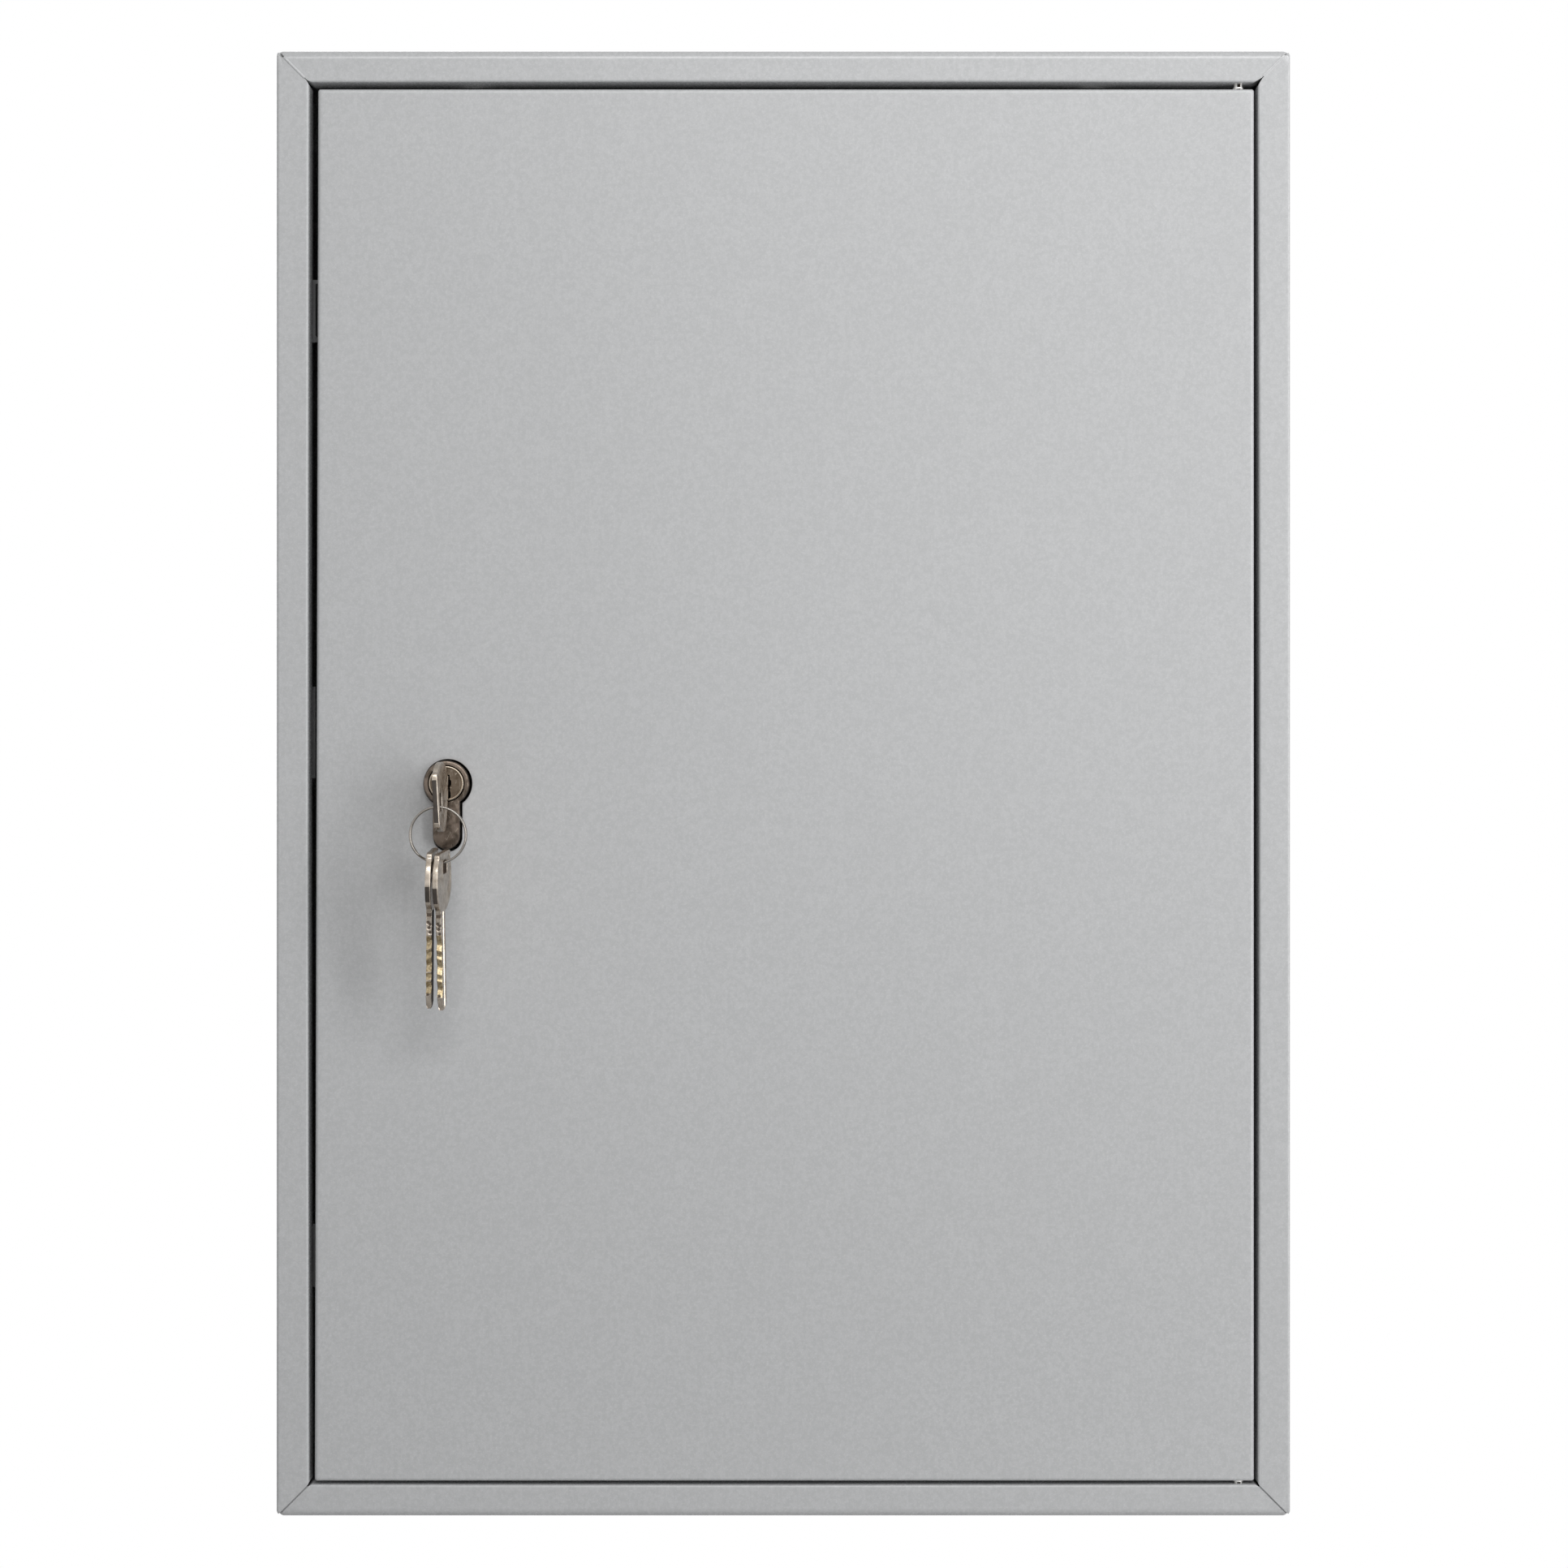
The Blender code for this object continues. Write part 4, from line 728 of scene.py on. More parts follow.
@dataclass
class CaseShell:
    """The welded case: four folded members, mitred at the front, and the back panel."""

    width: float = 0.380
    height: float = 0.550
    depth: float = 0.140
    sheet: float = 0.0012
    fold_inside: float = 0.0003
    crisp_fold: float = 0.0008
    level_front_fold: float = 0.0034
    upright_front_fold: float = 0.0011
    front_flange: float = 0.0122
    front_return: float = 0.010
    rear_flange: float = 0.012
    seat: float = 0.0003
    fold_steps: int = 8
    relief_half_length: float = 0.0008
    approach: tuple[float, ...] = (0.004, 0.007, 0.011)
    run_steps: int = 8
    corner_round: float = 0.0022

    @property
    def fold(self) -> float:
        """Outer radius of every fold."""
        return self.sheet + self.fold_inside

    @property
    def opening_z(self) -> float:
        """Half the opening's height."""
        return self.height / 2 - self.front_flange

    def section(self, front_fold: float) -> tuple[np.ndarray, np.ndarray]:
        """Outer and inner line of a member, as (distance in from the case's face, depth).

        The flange beside the front fold gets extra points, which the small corner openings need.

        Args:
            front_fold: Outer radius of the fold between the member's wall and its front flange.
        """
        rear = -(self.sheet + self.seat)
        corners = ((self.front_flange, self.front_return - self.depth),
                   (self.front_flange, -self.depth), (0, -self.depth), (0, rear),
                   (self.rear_flange, rear))
        outside = (self.crisp_fold, front_fold, self.fold)
        lines = folded_section(corners, self.sheet, self.fold_inside, outside, self.fold_steps)
        steps = np.arange(len(lines[0]), dtype=float)
        flange = self.fold_steps + 1
        finer = np.sort(np.concatenate([steps, flange + np.linspace(0.1, 0.95, 14)]))
        return tuple(np.column_stack([np.interp(finer, steps, line[:, axis]) for axis in (0, 1)])
                     for line in lines)

    def relief(self, corner: Corner, inward: np.ndarray, depth: np.ndarray) -> np.ndarray:
        """How open the folds' meeting point is: a bell about a place on the mitre, from 0 to 1."""
        off = (inward - corner.relief_from_edge) / self.relief_half_length
        behind = (depth + self.depth) / self.fold
        return np.exp(-off ** 4 - behind ** 2)

    def ends(self, section: np.ndarray, half_length: float, corner: Corner) -> np.ndarray:
        """Stations of a member near one end, from the flat run to the mitre.

        Points nearer the case's face than the corner's radius go round it on an arc: in
        the radius times the angle's cosine, and along it times the sine, up to an eighth of a
        turn. The others slide up to the mitre, where the place along is the half length less
        the distance in. The corner's small openings then draw the end back.

        Returns:
            (distance in, depth, place along) by station and by point.
        """
        inward, depth = section.T[:, None]
        angle = quarter_steps(self.fold_steps, math.pi / 4)[:, None]
        radius = self.corner_round - inward
        round_the_corner = radius > 0
        along = np.where(round_the_corner, half_length - self.corner_round + radius * np.sin(angle),
                         half_length - inward - self.corner_round * (1 - angle / (math.pi / 4)))
        inside = np.where(round_the_corner, self.corner_round - radius * np.cos(angle), inward)
        between = np.linspace(0, 1, self.run_steps)[:, None] * (along[:1] - self.approach[-1])
        past = inward - (self.front_flange - corner.opening_notch)
        in_front = depth < self.front_return - self.depth + self.sheet
        along = along - np.where(in_front, np.clip(past, 0, None), 0)
        share = angle / (math.pi / 4)
        along = along - corner.seam / 2 - corner.relief * share * self.relief(corner, inward, depth)
        before = along[:1] - np.array(self.approach)[::-1, None]
        before = np.vstack([between[:-1], before])
        flat = np.broadcast_to(inside[:1], before.shape)
        stations = np.vstack([before, along])
        return np.stack([np.vstack([flat, inside]), np.broadcast_to(depth, stations.shape),
                         stations], axis=-1)

    def member(self, name: str, half_length: float, low: Corner, high: Corner,
               front_fold: float, next_fold: float, bow: float, to_world: Any) -> None:
        """Make one folded member, with the given corner at each end.

        Near its ends the member's front falls back as the front fold of its neighbours does: by
        their radius less the root of its square less the square of the radius less the distance
        from the end. The flange's free edge bows away from the opening: by the bow times one
        less the squared place along over the half length, and times the squared share of the
        flange's width.

        Args:
            name: The CAD node that it stands for.
            half_length: Half the member's length over the mitres' points.
            low: Corner at the lower or left end.
            high: Corner at the upper or right end.
            front_fold: Outer radius of the front fold.
            next_fold: Outer radius of the neighbours' front folds.
            bow: How far the flange's free edge lies back at the member's middle.
            to_world: Turns (distance in, depth, place along) into X, Y and Z.
        """
        outer, inner = self.section(front_fold)
        loop = np.vstack([outer, inner[::-1]])
        upper = self.ends(loop, half_length, high)
        lower = self.ends(loop, half_length, low)[::-1] * (1, 1, -1)
        stations = np.concatenate([lower[:-1], upper])
        inward, depth, along = np.moveaxis(stations, -1, 0)
        in_front = depth < self.front_return - self.depth + self.sheet
        share = np.where(in_front, np.clip(inward / self.front_flange, 0, 1), 0)
        stations[..., 0] -= bow * share ** 2 * np.clip(1 - (along / half_length) ** 2, 0, 1)
        short = next_fold - np.clip(half_length - np.abs(along), 0, next_fold)
        sheet = np.where(np.arange(len(loop)) < len(outer), 0.0, self.sheet)
        fallen = next_fold - np.sqrt(next_fold ** 2 - short ** 2) + sheet - self.depth
        stations[..., 1] = np.where(in_front, np.maximum(depth, fallen), depth)
        rows = np.stack(to_world(*np.moveaxis(stations, -1, 0)), axis=-1)
        surface = Surface().grid(rows, wrap_columns=True)
        count = len(outer)
        for end in (rows[0], rows[-1]):
            surface.grid(np.stack([end[:count], end[count:][::-1]]))
        make_piece(f"{name}_folded", surface, [LIGHT_GREY_COAT], "cabinet", [name])

    def bead(self, corner: Corner) -> None:
        """Make the dressed weld along one mitre.

        Its path is the members' outer line on the mitre's plane. At each point an ellipse
        stands across the seam: half the width times the cosine, and the crown less a depth
        times one minus the sine. The ellipse sinks where the corner is open.
        """
        outer, _ = self.section(self.level_front_fold)
        inward, depth = outer.T
        radius = np.clip(self.corner_round - inward, 0, None)
        on_mitre = np.where(radius > 0, self.corner_round - radius * math.cos(math.pi / 4), inward)
        kept = (inward < self.front_flange - corner.opening_notch - 0.0002)
        place = np.column_stack([corner.side * (self.width / 2 - on_mitre), depth,
                                 corner.end * (self.height / 2 - on_mitre)])[kept]
        inward, depth = inward[kept], depth[kept]
        across = np.array([corner.side, 0.0, -corner.end]) / math.sqrt(2)
        way = np.gradient(place, axis=0)
        out = np.cross(way, across)
        out /= np.linalg.norm(out, axis=1)[:, None]
        out *= -np.sign(out[len(out) // 8, 1])
        width_mm, crown_mm = corner.bead.value
        fade = np.clip((depth + self.depth) / 0.004, 0, 1)
        crown = MILLIMETRE * (crown_mm * (1 - fade) + 0.01 * fade)
        crown = crown - 0.0025 * (corner.relief > 0) * self.relief(corner, inward, depth)
        angle = np.linspace(0, math.tau, 13)[:-1]
        side = width_mm * MILLIMETRE / 2 * np.cos(angle)
        rise = MILLIMETRE * max(0.14, crown_mm)
        height = crown[:, None] - rise * (1 - np.sin(angle))[None]
        rings = place[:, None] + side[None, :, None] * across + height[..., None] * out[:, None]
        make_piece(f"mitre_weld_{corner.name}", Surface().tube(rings), [LIGHT_GREY_COAT], "cabinet")

    def build(self) -> None:
        """Make the members, the welds and the back panel."""
        half_width, half_height = self.width / 2, self.height / 2
        top_left, top_right, bottom_left, bottom_right = CORNERS
        upright, level = self.upright_front_fold, self.level_front_fold
        self.member("side_left", half_height, bottom_left, top_left, upright, level, 0.0004,
                    lambda u, y, s: (u - half_width, y, s))
        self.member("side_right", half_height, bottom_right, top_right, upright, level, 0.0006,
                    lambda u, y, s: (half_width - u, y, s))
        self.member("top_panel", half_width, top_left, top_right, level, upright, 0.0002,
                    lambda u, y, s: (s, y, half_height - u))
        self.member("bottom_panel", half_width, bottom_left, bottom_right, level, upright, 0.0002,
                    lambda u, y, s: (s, y, u - half_height))
        for corner in CORNERS:
            self.bead(corner)
        finish_node("back_panel", LIGHT_GREY_COAT, 0.0003)


@dataclass
class HingePins:
    """Rolled spring pins between the frame's returns and the door, split down their front."""

    case: CaseShell
    x: float = 0.1709
    y: float = -0.1365
    radius: float = 0.0015
    bore: float = 0.0008
    split: float = math.radians(29)
    reach: float = 0.006
    head_radius: float = 0.0020
    door_top: float = 0.2607
    door_bottom: float = -0.2615
    collar_radius: float = 0.0019
    collar_height: float = 0.0005
    collar_edge: float = 0.00015
    head_height: float = 0.0015
    head_edge: float = 0.0002
    arc_points: int = 25
    ring_points: int = 32

    def rolled(self, low: float, high: float) -> np.ndarray:
        """Rings of a split tube: an arc at the outer radius, and back along one at the bore."""
        start = -math.pi / 2 + self.split
        sweep = math.tau - 2 * self.split
        line = np.vstack([circle(self.radius, self.arc_points, start, sweep),
                          circle(self.bore, self.arc_points, start, sweep)[::-1]])
        return np.stack([np.column_stack([line + (self.x, self.y), np.full(len(line), z)])
                         for z in (low, high)])

    def build(self) -> None:
        """Make both pins, each with the collar that the door rides on or under."""
        for name, side, edge in (("hinge_pin_top", 1, self.door_top),
                                 ("hinge_pin_bottom", -1, self.door_bottom)):
            frame_edge = side * self.case.opening_z
            inner = edge - side * (self.case.sheet + self.reach)
            head = frame_edge + side * (self.case.sheet + self.case.seat)
            rings = self.rolled(*sorted((inner, head + side * self.head_height)))
            # Painted shade: the bore's inner wall gets the dark-hollows finish, for the shade
            # inside the split pin
            in_bore = (np.arange(rings.shape[1]) >= self.arc_points).astype(int)[None]
            surface = Surface().grid(rings, wrap_columns=True, mark=in_bore)
            surface.cap(rings[0]).cap(rings[-1])
            top, wide, cut = self.head_height, self.head_radius, self.head_edge
            neck = self.radius * 0.98
            rim = ((0.0, neck), (0.0, wide - cut), (cut, wide), (top - cut, wide),
                   (top, wide - cut), (top, neck))
            top, wide, cut = self.collar_height, self.collar_radius, self.collar_edge
            collar = ((0.0, self.bore), (0.0, wide), (top - cut, wide), (top, wide - cut),
                      (top, self.bore))
            for base, profile in ((head, rim), (edge + side * self.collar_edge, collar)):
                line = [(base + side * along, radius) for along, radius in profile]
                surface.grid(turned(line, (self.x, self.y, 0), self.ring_points),
                             wrap_rows=True, wrap_columns=True)
            make_piece(f"{name}_rolled", surface, [PIN_STEEL, DARK_HOLLOWS_AND_PAINTED_SHADE], "cabinet",
                       [name])


@dataclass
class KeyBoard:
    """Rails, hook bars and their number strips, with one plain number over each hook."""

    bar_count: int = 8
    hook_count: int = 8
    bar_pitch: float = 0.056
    hook_pitch: float = 0.038
    hook_width: float = 0.005
    sheet: float = 0.0012
    bar_front_y: float = -0.0135
    window_below: float = 0.010
    strip_half: float = 0.152
    strip_low: float = 0.009
    strip_height: float = 0.007
    strip_rear_y: float = -0.0138
    strip_thickness: float = 0.0005
    figure_height: float = 0.0046
    ink_thickness: float = 0.00004
    bend_radius: float = 0.0016
    hook_path: tuple[tuple[float, float], ...] = ((0.0, 0.0), (0.0014, 0.0008), (0.012, 0.0055),
                                                  (0.0142, 0.0100))

    def figure(self, text: str) -> tuple[np.ndarray, list[tuple[int, ...]]]:
        """Outline and fill of a printed number, centred, as places in a plane and faces."""
        curve = bpy.data.curves.new(f"figure_{text}", "FONT")
        curve.body = text
        curve.size = self.figure_height / 0.7
        curve.align_x = "CENTER"
        curve.align_y = "CENTER"
        curve.resolution_u = 4
        holder = bpy.data.objects.new(curve.name, curve)
        mesh = bpy.data.meshes.new_from_object(holder)
        flat = np.zeros(len(mesh.vertices) * 3)
        mesh.vertices.foreach_get("co", flat)
        faces = [tuple(polygon.vertices) for polygon in mesh.polygons]
        bpy.data.objects.remove(holder)
        bpy.data.curves.remove(curve)
        bpy.data.meshes.remove(mesh)
        return flat.reshape(-1, 3)[:, :2], faces

    def numbers(self, row: int, middle: float) -> None:
        """Print a row's numbers on its strip, counted from the left of the top row."""
        surface = Surface()
        front = self.strip_rear_y - self.strip_thickness - self.ink_thickness
        for column in range(self.hook_count):
            flat, faces = self.figure(str(row * self.hook_count + column + 1))
            x = (column - (self.hook_count - 1) / 2) * self.hook_pitch
            surface.cover(at_depth(flat + (x, middle), front), faces)
        mesh = bpy.data.meshes.new(f"numbers_{row + 1}")
        mesh.from_pydata(np.concatenate(surface.points).tolist(), [], surface.faces)
        mesh.materials.append(STRIP_INK.material())
        printed = add_object(mesh.name, mesh)
        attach(printed, "cabinet")
        log.info("%s: %d faces on cabinet", printed.name, len(mesh.polygons))

    def strip(self, row: int, low: float) -> None:
        """Make a card strip with a raised clear-cut border, from nested rectangles."""
        front, rear = self.strip_rear_y - self.strip_thickness, self.strip_rear_y
        rings = []
        for inset, depth in ((0.0, rear), (0.0, front + 0.0001), (0.0001, front)):
            x, z0, z1 = self.strip_half - inset, low + inset, low + self.strip_height - inset
            rings.append([(-x, depth, z0), (x, depth, z0), (x, depth, z1), (-x, depth, z1)])
        make_piece(f"number_strip_{row + 1}_card", Surface().tube(np.array(rings)), [STRIP_CARD],
                   "cabinet", [f"number_strip_{row + 1}"])

    def hook_line(self) -> np.ndarray:
        """Middle line of a hook with rounded bends, as (reach forward, rise).

        A bend at a corner is a parabola between points one radius before and after it: the
        blend of the two points and the corner by the squares of the shares along it.
        """
        corners = np.array(self.hook_path)
        before, corner, after = corners[:-2], corners[1:-1], corners[2:]
        back, ahead = before - corner, after - corner
        back_length, ahead_length = (np.linalg.norm(way, axis=1)[:, None] for way in (back, ahead))
        reach = np.minimum(self.bend_radius, 0.45 * np.minimum(back_length, ahead_length))
        start = corner + back / back_length * reach
        stop = corner + ahead / ahead_length * reach
        share = np.linspace(0, 1, 7)[None, :, None]
        bends = (start[:, None] * (1 - share) ** 2 + 2 * corner[:, None] * share * (1 - share)
                 + stop[:, None] * share ** 2)
        return np.vstack([corners[:1], bends.reshape(-1, 2), corners[-1:]])

    def hooks(self, row: int, centre: float) -> None:
        """Make a row's hooks: a rounded strip section carried along the hook's line.

        Each section is a superellipse of the strip's width and thickness, set across the line.
        The last sections narrow to a round tip.
        """
        line = self.hook_line()
        way = np.gradient(line, axis=0)
        way /= np.linalg.norm(way, axis=1)[:, None]
        normal = np.column_stack([-way[:, 1], way[:, 0]])
        angle = np.linspace(0, math.tau, 17)[:-1]
        wide = np.sign(np.cos(angle)) * np.abs(np.cos(angle)) ** 0.3 * self.hook_width / 2
        thick = np.sign(np.sin(angle)) * np.abs(np.sin(angle)) ** 0.5 * self.sheet / 2
        tip = line[-1] + way[-1] * np.array([0.0008, 0.0013, 0.00145])[:, None]
        line = np.vstack([line, tip])
        normal = np.vstack([normal, np.repeat(normal[-1:], 3, axis=0)])
        narrow = np.concatenate([np.ones(len(line) - 3), [0.86, 0.55, 0.12]])
        surface = Surface()
        base_y = self.bar_front_y + self.sheet / 2
        base_z = centre - self.window_below
        for column in range(self.hook_count):
            x = (column - (self.hook_count - 1) / 2) * self.hook_pitch
            off = thick[None, :, None] * normal[:, None]
            rings = np.stack([x + wide[None] * narrow[:, None],
                              base_y - line[:, None, 0] - off[..., 0],
                              base_z + line[:, None, 1] + off[..., 1]], axis=-1)
            surface.tube(rings)
        make_piece(f"hooks_{row + 1}", surface, [BAR_ZINC], "cabinet", sharp_degrees=50)

    def build(self) -> None:
        """Make the rails, then each row's bar, hooks, strip and numbers."""
        for name in ("rail_left", "rail_right"):
            finish_node(name, RAIL_ZINC, 0.00012)
        for row in range(self.bar_count):
            centre = self.bar_pitch * ((self.bar_count - 1) / 2 - row)
            finish_node(f"hook_bar_{row + 1}", BAR_ZINC, 0.00015)
            self.hooks(row, centre)
            self.strip(row, centre + self.strip_low)
            self.numbers(row, centre + self.strip_low + self.strip_height / 2)


@dataclass
class Strike:
    """The bolt's strike and the rubber-faced door stops on the left wall."""

    brackets: tuple[str, ...] = ("strike_bracket", "door_stop_upper", "door_stop_lower")
    buffers: tuple[str, ...] = ("stop_buffer_upper", "stop_buffer_lower")

    def build(self) -> None:
        """Finish the brackets and their buffers."""
        for name in self.brackets:
            finish_node(name, LIGHT_GREY_COAT, 0.00025)
        for name in self.buffers:
            finish_node(name, BUFFER_RUBBER, 0.0005, 3)


@dataclass
class Door:
    """The inset door: a folded tray with the lock's cut-out."""

    left: float = -0.1751
    right: float = 0.1765
    bottom: float = -0.2615
    top: float = 0.26035
    slant: float = 0.00065
    front_y: float = -0.140
    flange: float = 0.015
    sheet: float = 0.0012
    fold_inside: float = 0.0003
    crisp_fold: float = 0.0014
    fold_steps: int = 8
    corner_cut: float = 0.0006
    lock_x: float = -0.1257
    cut_radius: float = 0.0091
    cut_half_web: float = 0.0054
    cut_foot_z: float = -0.0201
    cut_edge: float = 0.00022
    cut_margin: float = 0.0015
    fold_margin: float = 0.001
    rim_edge: float = 0.0002
    edge_steps: int = 4
    even_rays: int = 240
    web_rays: int = 90
    web_margin: float = 0.04

    def angles(self) -> np.ndarray:
        """Rays from the lock's axis, with a pair at each corner of the door."""
        rays = keyhole_rays(self.even_rays, self.web_rays, self.cut_radius, self.cut_half_web,
                            self.web_margin)
        cut = self.corner_cut
        pairs = [(x - self.lock_x, z) for side, inward in ((self.left, 1), (self.right, -1))
                 for end, down in ((self.bottom, 1), (self.top, -1))
                 for x, z in ((side + inward * cut, end), (side, end + down * cut))]
        corner = np.array([math.atan2(z, x) for x, z in pairs])
        return np.unique(np.concatenate([rays, corner]).round(9))

    def cut_out(self, angle: np.ndarray) -> np.ndarray:
        """Reach of the cut-out along each ray, plug's circle or web, in metres.

        Inside the web's sector the ray ends on the web's side, which it meets at the half
        width over the cosine's size, or on the round foot: the foot's height times the sine,
        plus the root of that squared, less the height squared, plus the half width squared.
        """
        cosine, sine = np.cos(angle), np.sin(angle)
        side = self.cut_half_web / np.maximum(np.abs(cosine), 1e-9)
        along = self.cut_foot_z * sine
        inside = along ** 2 - self.cut_foot_z ** 2 + self.cut_half_web ** 2
        foot = along + np.sqrt(np.maximum(inside, 0))
        web = np.where(side * sine > self.cut_foot_z, side, foot)
        in_web = (sine < 0) & (self.cut_radius * np.abs(cosine) < self.cut_half_web)
        return np.where(in_web, web, self.cut_radius)

    def edge(self, angle: np.ndarray) -> np.ndarray:
        """Where each ray meets the door's outer rectangle, as (X, Z).

        The free edge isn't quite upright: it lies in at the top and out at the foot by the
        slant, which fades to nothing at the hinged edge.
        """
        cosine, sine = np.cos(angle), np.sin(angle)
        wide = np.where(cosine > 0, self.right, self.left) - self.lock_x
        tall = np.where(sine > 0, self.top, self.bottom)
        reach = np.minimum(np.abs(wide) / np.maximum(np.abs(cosine), 1e-9),
                           np.abs(tall) / np.maximum(np.abs(sine), 1e-9))
        x, z = self.lock_x + reach * cosine, reach * sine
        x += self.slant * z / self.top * (self.right - x) / (self.right - self.left)
        return np.column_stack([x, z])

    def build(self) -> None:
        """Make the tray as rings round the lock's axis, from the cut-out's edge over the folds.

        A ring on the rectangle is the outer one drawn in: each coordinate, from the door's
        middle, times the half size less the inset, over the half size. Round a fold the inset
        is the radius times one less the cosine, and the depth times one less the sine.
        """
        angle = self.angles()
        ray = np.column_stack([np.cos(angle), np.sin(angle)])
        cut = self.cut_out(angle)
        edge = self.edge(angle)
        middle = np.array([(self.left + self.right) / 2, (self.bottom + self.top) / 2])
        half = np.array([(self.right - self.left) / 2, (self.top - self.bottom) / 2])
        centre = np.array([self.lock_x, 0.0])
        inner_y = self.front_y + self.sheet
        fold = self.sheet + self.fold_inside

        def by_cut(grow: float, depth: float) -> np.ndarray:
            return at_depth(centre + ray * (cut + grow)[:, None], depth)

        def by_edge(inset: float, depth: float) -> np.ndarray:
            return at_depth(middle + (edge - middle) * (half - inset) / half, depth)

        rings = [by_cut(0.0, inner_y)]
        rings += [by_cut(inset, self.front_y + depth)
                  for depth, inset in quarter_round(self.cut_edge, self.edge_steps)]
        rings += [by_cut(self.cut_margin, self.front_y),
                  by_edge(fold + self.fold_margin, self.front_y)]
        rings += [by_edge(inset, self.front_y + depth)
                  for inset, depth in quarter_round(self.crisp_fold, self.fold_steps)]
        rear, eased, sheet = self.front_y + self.flange, self.rim_edge, self.sheet
        rings += [by_edge(0.0, rear - eased), by_edge(eased, rear), by_edge(sheet - eased, rear),
                  by_edge(sheet, rear - eased), by_edge(sheet, inner_y + self.fold_inside),
                  by_edge(fold, inner_y), by_cut(self.cut_margin, inner_y)]
        surface = Surface().grid(np.stack(rings), wrap_rows=True, wrap_columns=True)
        make_piece("door_folded", surface, [LIGHT_GREY_COAT], "door", ["door_panel"])


@dataclass
class LockHardware:
    """The lock case behind the door with its studs, nuts, bolt, guides, screw, cam and clip."""

    fasteners: int = 4

    def build(self) -> None:
        """Finish each fixed piece, then the moving ones."""
        finish_node("lock_case", RAIL_ZINC, 0.0003, 3)
        finish_node("lock_bolt", BAR_ZINC, 0.0003, 3)
        for number in range(1, self.fasteners + 1):
            finish_node(f"case_stud_{number}", BRIGHT_STEEL, 0.0004)
            finish_node(f"case_nut_{number}", BRIGHT_STEEL, 0.0003)
        for name in ("bolt_guide_1", "bolt_guide_2", "cylinder_screw", "cylinder_cam",
                     "plug_circlip"):
            finish_node(name, BRIGHT_STEEL, 0.00015)


